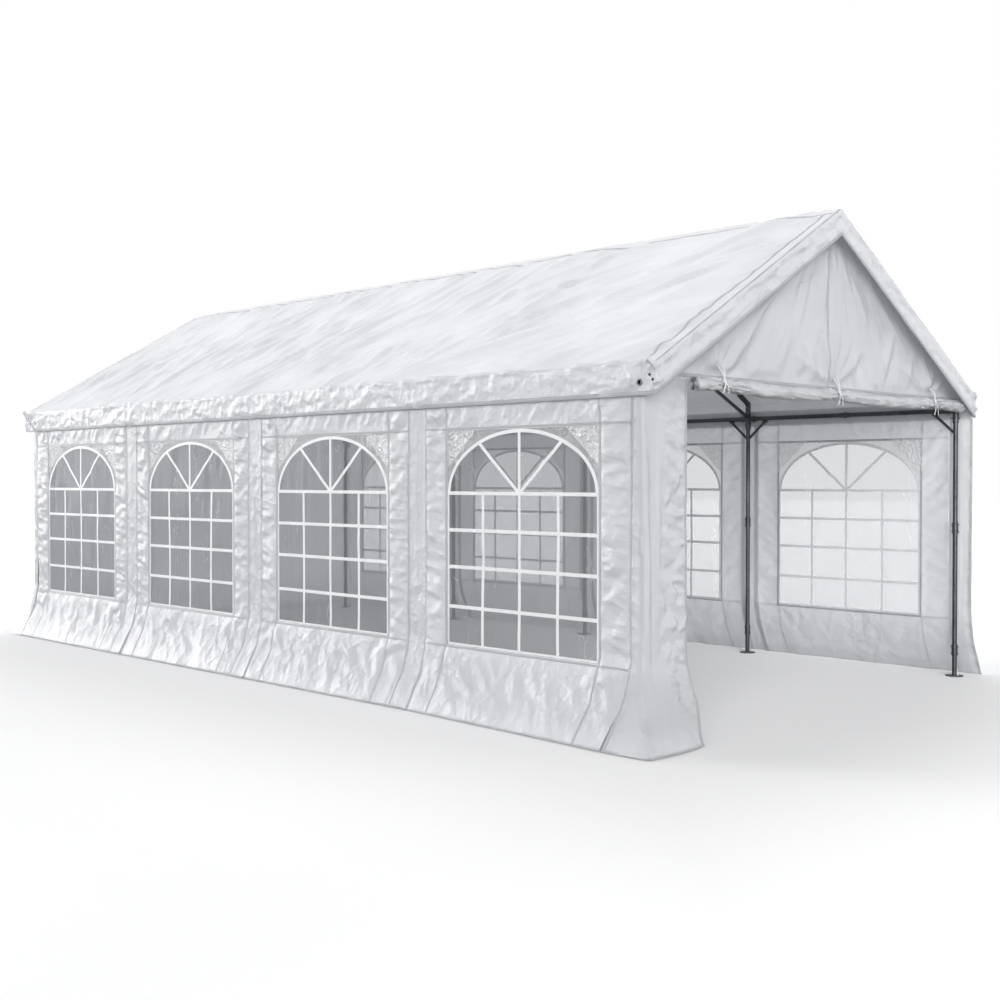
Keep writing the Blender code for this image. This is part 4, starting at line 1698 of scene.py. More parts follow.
@dataclass
class Corners:
    """The cloth at the four corner posts and the rear wall.

    Args:
        finishes: The tent's materials.
        rods: The frame's tubes.
        flap_reach: How far the left flap runs on across the gable.
        loose_reach: How far the right flap stands out in front of its post.
    """

    finishes: Finishes
    rods: Sequence[Rod]
    flap_reach: float = 0.40
    loose_reach: float = 0.13

    def build(self) -> None:
        """Makes both front flaps and the rear wall."""
        x = TENT.half_width + TENT.wall_line
        y = TENT.half_length + TENT.wall_line
        seam = TENT.half_length - TENT.corner_seam
        around = Track([(-x, -seam), (-x, -y), (-TENT.half_width + self.flap_reach, -y)], [TENT.wall_line])
        flap = CornerFlap(
            "flap_front_left", "corner_flap_front_left", around, self.finishes, self.rods, seed=411, step=0.011,
            upright=[(0.045, 0.014), (0.122, 0.026), (0.175, 0.010), (0.235, 0.020)],
            cut_back=(0.008, 0.14), wide=(1.5, 1.3), hem_rise=0.010)
        piece = flap.build()
        loose = Track([(x, -TENT.half_length - self.loose_reach), (x, -seam)], [])
        strip = CornerFlap(
            "flap_front_right", "corner_flap_front_right", loose, self.finishes, self.rods, seed=415, step=0.012,
            upright=[(0.03, 0.007), (0.075, 0.009), (0.13, 0.006)], edge_puckers=False)
        hanging = strip.build()
        back = Track([(x, seam), (x, y), (-x, y), (-x, seam)], [TENT.wall_line, TENT.wall_line])
        rear = RearWall("rear_wall_sheet", "rear_wall", back, self.finishes, self.rods, seed=433, step=0.019)
        wall = rear.build()


@dataclass
class GablePanel:
    """The triangle of cloth above the eaves at one end, with a seam down its middle.

    Args:
        gable: Which end it is at.
        finishes: The tent's materials.
        rods: The frame's tubes.
        seed: Gives it its own creases.
        bottom: Height of its foot.
        half: Half its width.
        below_cover: Distance of its upper edge under the cover's middle.
        step: Size of its cells.
    """

    gable: Gable
    finishes: Finishes
    rods: Sequence[Rod]
    seed: int
    bottom: float = 2.2205
    half: float = 2.046
    below_cover: float = 0.0045
    step: float = 0.018

    def __post_init__(self) -> None:
        """Draws the folds that fan out from the ridge and from the ties."""
        rng = np.random.default_rng(self.seed)
        self.grain = Grain(self.seed)
        self.folds = []
        top = self.top(np.array(0.0)) - 0.04
        for place in np.linspace(-1.7, 1.7, 13):
            end = (place + rng.uniform(-0.1, 0.1), self.bottom + rng.uniform(0.05, 0.25))
            start = (place * 0.06 + rng.uniform(-0.02, 0.02), float(top) - abs(place) * 0.08)
            self.folds.append(Fold.drawn(rng, start, end, (0.03, 0.06), (0.010, 0.022), peak=(0.25, 0.6),
                                         bow=(-0.04, 0.04)))
        for tie in TENT.door_ties:
            for lean in (-0.55, -0.34, -0.16, -0.04, 0.12, 0.3, 0.5):
                end = (tie + lean, self.bottom + rng.uniform(0.18, 0.55))
                self.folds.append(Fold.drawn(rng, (tie, self.bottom + 0.01), end, (0.026, 0.045), (0.014, 0.026),
                                             peak=0.35))
        for place in np.linspace(-1.9, 1.9, 14):
            first = place + rng.uniform(-0.1, 0.1)
            end = (first + rng.uniform(-0.35, 0.35), self.bottom + rng.uniform(0.25, 0.6))
            self.folds.append(Fold.drawn(rng, (first, self.bottom + 0.02), end, (0.03, 0.05), (0.012, 0.024),
                                         peak=0.4))
        for height, reach in ((2.62, 0.17), (2.80, 0.2), (3.0, 0.12), (3.15, 0.09)):
            self.folds.append(Fold((-reach, height), (reach * 0.6, height - 0.03), 0.014, 0.006, peak=0.5, bow=-0.03))

    def top(self, x: Array) -> Array:
        """Height of its upper edge, close under the cover."""
        return TENT.roof_height(x) - self.below_cover

    def position(self, x: Array, share: Array, off: float = 0.0) -> Array:
        """Where points of the panel are.

        Args:
            x: Place across the tent.
            share: 0 at its foot and 1 at its upper edge.
            off: Distance in front of its middle.

        Returns:
            The points.
        """
        high = self.top(x)
        z = self.bottom + (high - self.bottom) * share
        free = smooth_step(high - z, 0.0, 0.07) * smooth_step(z - self.bottom, 0.015, 0.09)
        fan = x / (self.top(np.array(0.0)) + 0.25 - z)
        soft = self.grain.creased(fan / 0.16, z / 1.3, 2) * 0.018 + self.grain.at(x / 0.6, z / 0.7) * 0.014
        stand = np.clip(soft + all_folds(self.folds, x, z), -0.012, 0.055) * free
        y = self.gable.value * (TENT.half_length + TENT.wall_line + stand + off)
        return clear_of_frame(np.stack([x, y, z], axis=-1), self.rods, 0.006)

    def build(self) -> None:
        """Makes the panel with its middle seam and its hem."""
        word = self.gable.name.lower()
        x_stations = spaced([-self.half, 0.0, self.half], self.step)
        shares = np.linspace(0, 1, 72)
        share, x = np.meshgrid(shares, x_stations, indexing="ij")
        quads = grid_quads(len(shares), len(x_stations))
        if self.gable is Gable.FRONT:
            quads = quads[:, ::-1]
        points = self.position(x.ravel(), share.ravel())
        mesh = Mesh()
        cloudy = np.clip(0.5 + 0.4 * self.grain.at(points[:, 0] / 0.5, points[:, 2] / 0.5), 0.1, 1)
        mesh.add_sheet(points, quads, points[:, [0, 2]], cloudy[:, None] * np.array([0.0, 0.30, 0.38]))
        facing = np.array([0.0, float(self.gable.value), 0.0])
        up = np.linspace(0.01, 0.985, 50)
        mesh.add_seam(self.position(np.zeros(50), up, TENT.seam_off), np.tile(facing, (50, 1)), 0.018)
        along = np.linspace(-self.half + 0.01, self.half - 0.01, 160)
        low = 0.012 / (self.top(along) - self.bottom)
        mesh.add_seam(self.position(along, low, TENT.seam_off), np.tile(facing, (160, 1)), 0.02)
        piece = mesh.build(f"gable_sheet_{word}", [self.finishes.wall, self.finishes.seam])
        place_piece(piece, Slot.WALL, [f"gable_panel_{word}"])
        height = float(self.top(np.array(0.0))) - self.bottom
        edge = float(self.top(np.array(self.half))) - self.bottom


@dataclass
class DoorRoll:
    """The gable's door, rolled up on itself and tied in three places.

    Args:
        finishes: The tent's materials.
        start: Left end along X.
        end: Right end along X.
        y: Place of its axis.
        z: Height of its axis.
        outer: Largest radius.
        core: Radius of its innermost turn.
        turn: Distance between turns.
        sag: How far it hangs down between two straps.
    """

    finishes: Finishes
    start: float = -1.598
    end: float = 1.938
    y: float = -4.0713
    z: float = 2.1853
    outer: float = 0.0532
    core: float = 0.005
    turn: float = 0.0056
    sag: float = 0.018

    def __post_init__(self) -> None:
        """Seeds its wrinkles."""
        self.grain = Grain(77)

    def squeeze(self, x: Array) -> Array:
        """Share of the radius that a strap takes away."""
        total = np.zeros(np.shape(x))
        for tie in TENT.door_ties:
            total += 0.54 * np.exp(-((x - tie) / 0.045) ** 2)
        return total

    def gather(self, x: Array, angle: Array) -> Array:
        """Folds that run into the straps, the same in every turn of the roll."""
        total = np.zeros(np.shape(x))
        for number, tie in enumerate(TENT.door_ties):
            near = np.exp(-np.abs(x - tie) / 0.15) * (1 - 0.5 * np.exp(-((x - tie) / 0.014) ** 2))
            drift = 0.7 * self.grain.at(x / 0.11, 1.6 * np.cos(angle) + number)
            wave = np.abs(np.sin(angle * 4.0 + number + 0.9 * np.sign(x - tie) + drift))
            total += 0.46 * near * (1 - wave) ** 1.2
        return total

    def wrinkle(self, x: Array, angle: Array) -> Array:
        """Slanting creases along the roll, the same in every turn of it."""
        first = self.grain.creased(x / 0.15 + np.cos(angle), 1.3 * np.sin(angle))
        second = self.grain.creased(x / 0.06 - np.sin(angle), 2.2 * np.cos(angle))
        return 0.34 * first + 0.14 * second

    def axis(self, x: Array) -> Array:
        """Height of the roll's middle, which hangs down a little between the straps."""
        knots = [self.start, *TENT.door_ties, self.end]
        drop = np.zeros(np.shape(x))
        for left, right in zip(knots, knots[1:]):
            inside = (x >= left) & (x <= right)
            share = np.clip((x - left) / (right - left), 0, 1)
            if left in TENT.door_ties and right in TENT.door_ties:
                deep = self.sag * np.sin(math.pi * share)
            else:
                deep = self.sag * 0.5 * (share if left in TENT.door_ties else 1 - share) ** 2
            drop = np.where(inside, deep, drop)
        return self.z - 0.001 - drop

    def build(self) -> None:
        """Makes the roll with its straps."""
        breaks = [self.start]
        for tie in TENT.door_ties:
            breaks += [tie - 0.12, tie, tie + 0.12]
        breaks.append(self.end)
        x_stations = np.concatenate(
            [spaced([low, high], 0.008 if high - low < 0.13 else 0.035)[:-1] for low, high in zip(breaks, breaks[1:])]
            + [[self.end]])
        turns = (self.outer - self.core) / self.turn
        angles = np.linspace(0, math.tau * turns, int(turns * 30))
        angle, x = np.meshgrid(angles, x_stations, indexing="ij")
        base = self.core + self.turn * angle / math.tau
        creased = np.clip(0.03 + self.gather(x, angle) + self.wrinkle(x, angle), 0.0, 0.5)
        radius = base * (1 - self.squeeze(x)) * (1 - creased)
        turned = -angle + math.tau * turns - 0.9
        inner = (1 - base / self.outer) * 0.008
        shifted = x - inner * (1 - smooth_step(x, self.start, self.start + 0.1)) + inner * smooth_step(
            x, self.end - 0.1, self.end)
        forwards, up = radius * np.cos(turned), radius * np.sin(turned)
        points = np.stack([shifted, self.y - forwards, self.axis(x) + up], axis=-1)
        mesh = Mesh()
        quads = grid_quads(len(angles), len(x_stations))
        length = base * angle
        flat = np.stack([x.ravel(), length.ravel()], axis=1)
        crumpled = np.clip(0.25 + 0.7 * self.gather(x, angle) / 0.3, 0, 1).ravel()
        mesh.add_sheet(points.reshape(-1, 3), quads, flat, crumpled[:, None] * np.array([0.3, 0.0, 1.0]))
        roll = mesh.build("door_roll_sheet", [self.finishes.wall])
        place_piece(roll, Slot.WALL, ["door_roll"])
        straps = [self.strap(number, tie) for number, tie in enumerate(TENT.door_ties, 1)]

    def strap(self, number: int, x: float) -> bpy.types.Object:
        """One strap: its loop round the roll, its crossing over the panel and its knot.

        Args:
            number: Which strap it is, from the left.
            x: Where it is.

        Returns:
            The piece.
        """
        mesh = Mesh()
        radius = self.outer * 0.45 + 0.0012
        height = float(self.axis(np.array([x]))[0])
        turns = np.linspace(0, math.tau, 48, endpoint=False)
        ring = np.stack([x + 0.004 * np.sin(turns), self.y - radius * np.cos(turns), height + radius * np.sin(turns)],
                        axis=1)
        facing = np.stack([np.zeros(48), -np.cos(turns), np.sin(turns)], axis=1)
        mesh.add_strip(ring, facing, 0.018, 0.0024, closed=True)
        top = np.array([x, self.y - radius * 0.55, height + radius * 0.86])
        for way in (-1, 1):
            share = np.linspace(0, 1, 12)[:, None]
            foot = top + np.array([way * -0.016, -0.004, -0.01])
            head = np.array([x + way * 0.026, -TENT.half_length - TENT.wall_line - 0.026, height + 0.118])
            swing = np.array([way * 0.004, -0.012, 0.004]) * np.sin(math.pi * share)
            line = foot + (head - foot) * share + swing
            mesh.add_strip(line, np.tile([0.0, -1.0, 0.25], (12, 1)), 0.010, 0.0014)
            tail = np.linspace(0, 1, 10)[:, None]
            hang = top + np.array([way * 0.03, -0.014, -0.055 - 0.02 * number]) * tail + np.array(
                [0.0, -0.012, 0.006]) * np.sin(math.pi * tail)
            mesh.add_strip(hang, np.tile([0.0, -1.0, 0.3], (10, 1)), 0.009, 0.0014)
        knot_turns = np.linspace(0, math.tau, 60, endpoint=False)
        knot = np.stack([
            np.sin(knot_turns) + 2 * np.sin(2 * knot_turns), np.cos(knot_turns) - 2 * np.cos(2 * knot_turns),
            -np.sin(3 * knot_turns)], axis=1) * 0.0042
        mesh.add_tube(knot[:, [0, 2, 1]] + top + np.array([0.0, -0.006, 0.0]), 0.0036, 7, closed=True)
        piece = mesh.build(f"door_strap_{number}", [self.finishes.strap])
        place_piece(piece, Slot.WALL)
        return piece


@dataclass
class RoofCover:
    """The roof sheet in one piece with its valances, stretched over the rafters.

    Args:
        finishes: The tent's materials.
        rods: The frame's tubes.
        across_step: Size of its cells down the slope.
        along_step: Size of its cells along the ridge.
        fillet: Radius of its bends at the eaves and the ridge.
        eyes: The eyelets at each corner, as place along the ridge, height over the hem and radius.
    """

    finishes: Finishes
    rods: Sequence[Rod]
    across_step: float = 0.036
    along_step: float = 0.0180
    fillet: float = 0.03
    eyes: tuple[Triple, ...] = (
        (4.02, 0.074, 0.019), (4.095, 0.115, 0.010), (4.118, 0.085, 0.010))

    def __post_init__(self) -> None:
        """Sets its section and draws its folds."""
        half, ridge = TENT.cover_half_width, TENT.cover_ridge
        eave = ridge - TENT.slope * half
        hem = eave - TENT.valance
        self.section = Track([(-half, hem), (-half, eave), (0.0, ridge), (half, eave), (half, hem)],
                             [self.fillet, self.fillet, self.fillet])
        turn = math.pi / 2 - math.atan(TENT.slope)
        self.drop = TENT.valance - self.fillet * math.tan(turn / 2)
        fine = np.array([0.0, 0.008, 0.020, 0.038])
        self.drop_stations = np.concatenate([fine, np.linspace(0.055, TENT.valance, 9)]) / TENT.valance
        self.drop_cells = len(self.drop_stations) - 1
        self.hem = hem
        self.grain = Grain(2024)
        self.fine = Grain(2025)
        rng = np.random.default_rng(2026)
        self.slope_length = half * math.hypot(1, TENT.slope)
        self.slope_folds = {side: self.draw_slope_folds(rng) for side in Side}
        self.valance_folds = self.draw_valance_folds(rng)

    @staticmethod
    def lean(y: float) -> float:
        """Turn of the drawn folds from straight up the slope, towards the front gable."""
        return float(np.interp(y, [-4.1, -2.3, -1.2, 0.4, 2.5, 4.1], [1.05, 0.85, 0.45, 0.05, -0.12, -0.5]))

    def draw_slope_folds(self, rng: np.random.Generator) -> list[Fold]:
        """Folds of one slope, in distance along the ridge and down the slope.

        Args:
            rng: Draws their places.

        Returns:
            Fans from each frame's eave, long folds drawn towards the front ridge, and short creases.
        """
        folds = []
        low = self.slope_length
        for y in TENT.frame_lines:
            for number in range(9):
                angle = self.lean(y - 0.6) + (number - 4) * 0.19 + rng.uniform(-0.05, 0.05)
                if y < -3.9 and angle > 0.2 or y > 3.9 and angle < -0.2:
                    continue
                length = rng.uniform(0.8, 2.0)
                reach = rng.uniform(0.05, 0.4)
                start = (y - reach * math.sin(angle), low - 0.04 - reach * math.cos(angle))
                end = (start[0] - length * math.sin(angle), max(start[1] - length * math.cos(angle), 0.03))
                folds.append(Fold.drawn(rng, start, end, (0.035, 0.065), (0.016, 0.030), peak=(0.35, 0.6),
                                        bow=(-0.05, 0.05)))
        for _ in range(90):
            y = rng.uniform(-3.9, 4.1)
            angle = self.lean(y) + rng.normal(0, 0.10)
            length = rng.uniform(0.3, 1.1) * (1.7 if y < -1.6 else 1.0)
            down = rng.uniform(0.25, low - 0.08)
            end = (y - length * math.sin(angle), max(down - length * math.cos(angle), 0.03))
            if math.hypot(end[0] - y, end[1] - down) < 0.15:
                continue
            folds.append(Fold.drawn(rng, (y, down), end, (0.024, 0.044), (0.010, 0.020), peak=(0.3, 0.7),
                                    bow=(-0.03, 0.03)))
        for down in np.arange(0.12, low, 0.15):
            first = down + rng.uniform(-0.05, 0.05)
            folds.append(Fold.drawn(rng, (TENT.cover_half_length, first),
                                    (TENT.cover_half_length - rng.uniform(0.25, 0.6),
                                    first + rng.uniform(-0.05, 0.3)), (0.02, 0.03), (0.004, 0.009), peak=0.25))
        return folds

    def draw_valance_folds(self, rng: np.random.Generator) -> list[Fold]:
        """Folds of the eave valance in distance along it and height above its hem."""
        folds = []
        for _ in range(190):
            y = rng.uniform(-4.1, 4.1)
            height = rng.uniform(0.0, 0.16)
            folds.append(Fold.drawn(rng, (y, height), (y + rng.uniform(-0.22, 0.22),
                                    height + rng.uniform(-0.09, 0.09) + 0.001), (0.016, 0.028), (0.003, 0.008),
                                    peak=(0.3, 0.7)))
        for end, way in ((-4.02, 1), (4.02, -1)):
            for lean in np.linspace(-0.35, 0.8, 7):
                reach = rng.uniform(0.22, 0.5)
                folds.append(Fold.drawn(rng, (end, 0.07), (end + way * reach * math.cos(lean),
                                        0.07 + reach * math.sin(lean)), 0.016, (0.014, 0.024), peak=0.2))
            folds.append(Fold((end - way * 0.02, 0.06), (end - way * 0.09, 0.19), 0.016, 0.014, peak=0.6))
        for y in TENT.frame_lines[1:-1]:
            for lean in (-1.1, -0.7, -0.3, 0.3, 0.7, 1.1):
                folds.append(Fold.drawn(rng, (y + 0.03, 0.01),
                                        (y + 0.03 + 0.2 * math.sin(lean), 0.01 + 0.17 * math.cos(lean)), 0.018,
                                        (0.009, 0.015), peak=0.3))
        return folds

    def base(self) -> tuple[Array, Array, Array, Array]:
        """The cover before its folds.

        Returns:
            Points, cells, places on the flat cloth and how far each point hangs down a gable.
        """
        cells = self.drop_cells
        slope_start, slope_end = self.drop, self.section.total - self.drop
        middle = self.section.total / 2
        drop = slope_start - self.drop_stations[::-1] * slope_start
        arc = self.fillet * (math.pi / 2 - math.atan(TENT.slope))
        crown = self.fillet * math.atan(TENT.slope)
        breaks = [slope_start + arc * share for share in (0, 1 / 3, 2 / 3, 1, 2)]
        breaks += [middle - 2 * crown, middle - crown, middle, middle + crown, middle + 2 * crown]
        breaks += [slope_end - arc * share for share in (2, 1, 2 / 3, 1 / 3, 0)]
        on_slope = spaced(breaks, self.across_step)
        a = np.concatenate([drop[:-1], on_slope, slope_end + self.drop_stations[1:] * slope_start])
        first, last = cells, len(a) - 1 - cells
        length = TENT.cover_half_length
        b = spaced([-length, 0.008 - length, 0.020 - length, length - 0.020, length - 0.008, length],
                   self.along_step)
        x, z, _, _ = self.section.at(a)
        grid_a, grid_b = np.meshgrid(np.arange(len(a)), np.arange(len(b)), indexing="ij")
        points = [np.stack([x[grid_a], b[grid_b], z[grid_a]], axis=-1).reshape(-1, 3)]
        flat = [np.stack([a[grid_a], b[grid_b]], axis=-1).reshape(-1, 2)]
        hang = [np.zeros(len(a) * len(b))]
        quads = [grid_quads(len(a), len(b))]
        count = len(a) * len(b)
        for end, column in ((-1, 0), (1, len(b) - 1)):
            numbers = np.zeros((last - first + 1, cells + 1), dtype=int)
            numbers[:, 0] = np.arange(first, last + 1) * len(b) + column
            numbers[0, :] = (first - np.arange(cells + 1)) * len(b) + column
            numbers[-1, :] = (last + np.arange(cells + 1)) * len(b) + column
            share, inner = np.meshgrid(self.drop_stations[1:], np.arange(first + 1, last))
            numbers[1:-1, 1:] = count + np.arange(inner.size).reshape(inner.shape)
            foot = TENT.roof_height(x[inner]) - TENT.valance
            height = z[inner] + (foot - z[inner]) * share
            points.append(np.stack([x[inner], np.full(inner.shape, end * length), height], axis=-1).reshape(-1, 3))
            flat.append(np.stack([a[inner], end * (length + TENT.valance * share)], axis=-1).reshape(-1, 2))
            hang.append((TENT.valance * share).ravel())
            count += inner.size
            cell_quads = np.stack([numbers[:-1, :-1], numbers[:-1, 1:], numbers[1:, 1:], numbers[1:, :-1]],
                                  axis=-1).reshape(-1, 4)
            quads.append(cell_quads if end < 0 else cell_quads[:, ::-1])
        self.hem_rows = (np.arange(len(b)), (len(a) - 1) * len(b) + np.arange(len(b)))
        self.grid = (len(a), len(b))
        return np.concatenate(points), np.concatenate(quads), np.concatenate(flat), np.concatenate(hang)

    @staticmethod
    def soften(points: Array, quads: Array, weight: Array, rounds: int) -> Array:
        """Rounds the folded edges.

        Args:
            points: The points.
            quads: The cells.
            weight: How much each point may move, from 0 to 1.
            rounds: How often it is done.

        Returns:
            The softened points.
        """
        edges = np.concatenate([quads[:, [index, (index + 1) % 4]] for index in range(4)])
        edges = np.unique(np.sort(edges, axis=1), axis=0)
        count = np.bincount(edges.ravel(), minlength=len(points))[:, None]
        for _ in range(rounds):
            total = np.zeros_like(points)
            np.add.at(total, edges[:, 0], points[edges[:, 1]])
            np.add.at(total, edges[:, 1], points[edges[:, 0]])
            points = points + 0.5 * weight[:, None] * (total / count - points)
        return points

    def drawn(self, y: Array, down: Array) -> Array:
        """Long folds that the stretched cloth is drawn into, slanting towards the front ridge in the front bay.

        Args:
            y: Place along the ridge.
            down: Distance down the slope.

        Returns:
            Their height.
        """
        front, rear = smooth_step(-y, 0.9, 2.3), smooth_step(y, 0.8, 2.4)
        total = np.zeros(np.shape(y))
        for share, lean, pitch, length, rise in (
                (front, 0.95, 0.26, 2.2, 0.115), (1 - front - rear, 0.30, 0.17, 0.9, 0.066),
                (rear, -0.12, 0.16, 0.8, 0.040)):
            across = y * math.cos(lean) - down * math.sin(lean)
            along = y * math.sin(lean) + down * math.cos(lean)
            grouped = np.clip(0.55 + 0.9 * self.fine.at(across / 0.5, along / 0.9), 0.15, 1.0)
            total += share * grouped * rise * self.grain.creased(across / pitch, along / length, 2)
        return total

    def lift(self, points: Array, hang: Array) -> Array:
        """How far the cover stands off its smooth form at each point."""
        x, y, z = points.T
        down = np.abs(x) * math.hypot(1, TENT.slope)
        total = np.zeros(len(points))
        eave = TENT.roof_height(np.array(TENT.cover_half_width))
        on_eave = smooth_step(eave + 0.01 - z, 0.0, 0.04) * (np.abs(x) > TENT.cover_half_width - 0.03) * (hang == 0)
        on_rake = smooth_step(hang, 0.0, 0.04)
        on_slope = (1 - on_eave) * (1 - on_rake)
        from_end = smooth_step(TENT.cover_half_length - np.abs(y), 0.01, 0.13)
        for side in Side:
            here = np.sign(x) == side.value
            total[here] += (all_folds(self.slope_folds[side], y[here], down[here]) + self.drawn(
                y[here] + 3.7 * side.value + 3.7, down[here])) * (on_slope * from_end)[here]
        bay = np.sin(math.pi * (y + TENT.half_length) / TENT.bay) ** 2
        inside = np.abs(y) < TENT.half_length
        sag = on_slope * bay * inside * 0.012 * np.sin(math.pi * np.clip(down / self.slope_length, 0, 1))
        crushed = self.fine.creased(y / 0.24, z / 0.15 + y / 0.9) * 0.010
        held = 0.35 + 0.65 * smooth_step(z - self.hem, 0.0, 0.05)
        total += on_eave * (crushed + all_folds(self.valance_folds, y, z - self.hem)) * held
        tucked = on_eave * 0.007 * (1 - smooth_step(z - self.hem, 0.0, TENT.valance))
        slanted = self.fine.creased(down / 0.20 + 5.0 + hang / 0.15, hang / 0.13) * 0.026 * smooth_step(
            hang, 0.01, 0.07) * (1 - 0.6 * smooth_step(hang, 0.15, 0.19))
        wander = self.grain.at(down * 2.2, hang * 3)
        drawn = 0.008 * np.sin(hang / TENT.valance * 9.0 + 4.0 * wander)
        calm = np.where(x > 0, 0.3, 0.65)
        total += on_rake * calm * (slanted + drawn * (1 - smooth_step(hang, 0.12, 0.19)))
        total = 0.042 * np.tanh(total / 0.042) * (1 - on_slope * 0.8 * (1 - smooth_step(down, 0.02, 0.15)))
        from_frame = np.min(np.abs(y[:, None] - np.array(TENT.frame_lines)), axis=1)
        from_rails = np.minimum(down, np.maximum(self.slope_length - down, 0.0))
        room = 0.0025 + 0.03 * smooth_step(np.minimum(from_frame, from_rails + 0.02), 0.03, 0.14)
        total = np.where((total < 0) & (on_slope > 0.5), room * np.tanh(total / room), total)
        flat = np.ones(len(points))
        for along, height, radius in self.eyes:
            off = np.hypot(np.abs(y) - along, z - self.hem - height) / radius
            flat = np.minimum(flat, np.where(on_eave > 0.5, smooth_step(off, 1.0, 2.4), 1.0))
        folded = np.where(on_eave > 0.5, np.maximum(total, -0.007), total) + self.loop(points, hang)
        return folded * flat - sag - tucked

    def loop(self, points: Array, hang: Array) -> Array:
        """The surplus cloth at each corner, gathered into a standing loop round the corner's edge."""
        x, y, z = points.T
        across = TENT.cover_half_width - np.abs(x)
        along = TENT.cover_half_length - np.abs(y)
        below = self.hem + TENT.valance - 0.075 - z
        sideways = np.where(hang > 0, across, along)
        round_it = np.hypot(sideways / 0.034, below / 0.052)
        return 0.020 * np.exp(-((round_it - 1) / 0.28) ** 2) * (np.maximum(across, along) < 0.12)

    def build(self) -> None:
        """Makes the cover with its piped hems and eyelets."""
        points, quads, flat, hang = self.base()
        to_end = TENT.cover_half_length - np.abs(points[:, 1])
        weight = np.where(hang > 0, 1 - smooth_step(hang, 0.02, 0.045), 1 - smooth_step(to_end, 0.02, 0.045))
        points = self.soften(points, quads, weight, 5)
        normals = point_normals(points, quads)
        stand = self.lift(points, hang)
        points = clear_of_frame(points + normals * stand[:, None], self.rods, 0.0035)
        normals = point_normals(points, quads)
        x, y, z = points.T
        valance = (z < TENT.roof_height(np.array(TENT.cover_half_width))) | (hang > 0)
        crumpled = np.where(valance, 0.55, 0.12 + 0.1 * self.grain.at(y / 0.8, x / 0.8))
        mesh = Mesh()
        mesh.add_sheet(points, quads, flat, crumpled[:, None] * np.array([0.0, 0.0, 1.0]))
        for line in self.hem_lines(points, hang):
            facing = normals[line]
            track = points[line]
            mesh.add_seam(track + facing * TENT.seam_off + np.array([0.0, 0.0, 0.011]), facing, 0.022)
            mesh.add_tube(track + np.array([0.0, 0.0, -0.001]), 0.0036, 6, slot=1)
        for side in Side:
            for gable in Gable:
                self.corner_loop(mesh, side.value, gable.value)
        for line in self.fixed_seams(points):
            mesh.add_seam(points[line] + normals[line] * TENT.seam_off, normals[line])
        cover = mesh.build("roof_cover_sheet", [self.finishes.roof, self.finishes.seam])
        place_piece(cover, Slot.ROOF, ["roof_cover"])
        eyelets = self.eyelets()

    def corner_loop(self, mesh: Mesh, side: int, end: int) -> None:
        """Adds the standing loop of surplus cloth that is drawn together at one corner.

        Args:
            mesh: The cover's mesh.
            side: Sign of the corner's X.
            end: Sign of the corner's Y.
        """
        share = np.linspace(0, 1, 22)
        turn = math.pi * share
        x = TENT.cover_half_width + 0.010 + 0.022 * np.sin(turn) - 0.050 * smooth_step(share, 0.6, 1.0)
        y = TENT.cover_half_length - 0.080 + 0.090 * share + 0.008 * np.sin(turn)
        z = self.hem + 0.100 + 0.120 * np.sin(turn) ** 0.8 - 0.03 * share
        radius = 0.003 + 0.009 * np.sin(turn) ** 0.6
        line = np.stack([side * x, end * y, z], axis=1)
        mesh.add_tube(line, radius, 10)

    def fixed_seams(self, points: Array) -> list[Array]:
        """Numbers of the points along the ridge's and the rafters' seams."""
        rows, columns = self.grid
        x, y = points[:rows * columns:columns, 0], points[:columns, 1]
        lines = []
        for side in Side:
            row = int(np.argmin(np.abs(x - side.value * 0.085)))
            lines.append(row * columns + np.arange(2, columns - 2))
            low, high = sorted(int(np.argmin(np.abs(x - side.value * place))) for place in (0.10, 2.0))
            for gable in Gable:
                column = int(np.argmin(np.abs(y - gable.value * (TENT.cover_half_length - 0.075))))
                lines.append(np.arange(low, high + 1) * columns + column)
        return lines

    def hem_lines(self, points: Array, hang: Array) -> list[Array]:
        """Numbers of the points along each hem, in order."""
        lines = list(self.hem_rows)
        for end in (-1, 1):
            at_end = (hang > TENT.valance * 0.999) & (np.sign(points[:, 1]) == end)
            chosen = np.nonzero(at_end)[0]
            lines.append(chosen[np.argsort(points[chosen, 0])])
        return lines

    def eyelets(self) -> bpy.types.Object:
        """The pressed rings at the cover's corners and over the posts."""
        mesh = Mesh()
        ring = np.array([(1.0, -0.1), (1.05, 0.1), (0.95, 0.25), (0.78, 0.3), (0.62, 0.2), (0.58, -0.1)])
        for side in Side:
            for gable in Gable:
                for along, height, radius in self.eyes:
                    spot = (side.value * (TENT.cover_half_width - 0.001), gable.value * along, self.hem + height)
                    facing = (side.value, 0, 0)
                    mesh.add_turned(spot, facing, (ring * radius).tolist())
                    # A dark disc in each ring, painted shade standing in for the hole
                    mesh.add_turned(spot, facing, [(radius * 0.6, 0.0), (radius * 0.6, radius * 0.12)], slot=1)
        piece = mesh.build("cover_eyelets", [self.finishes.plated, self.finishes.dark])
        place_piece(piece, Slot.STEEL)
        return piece


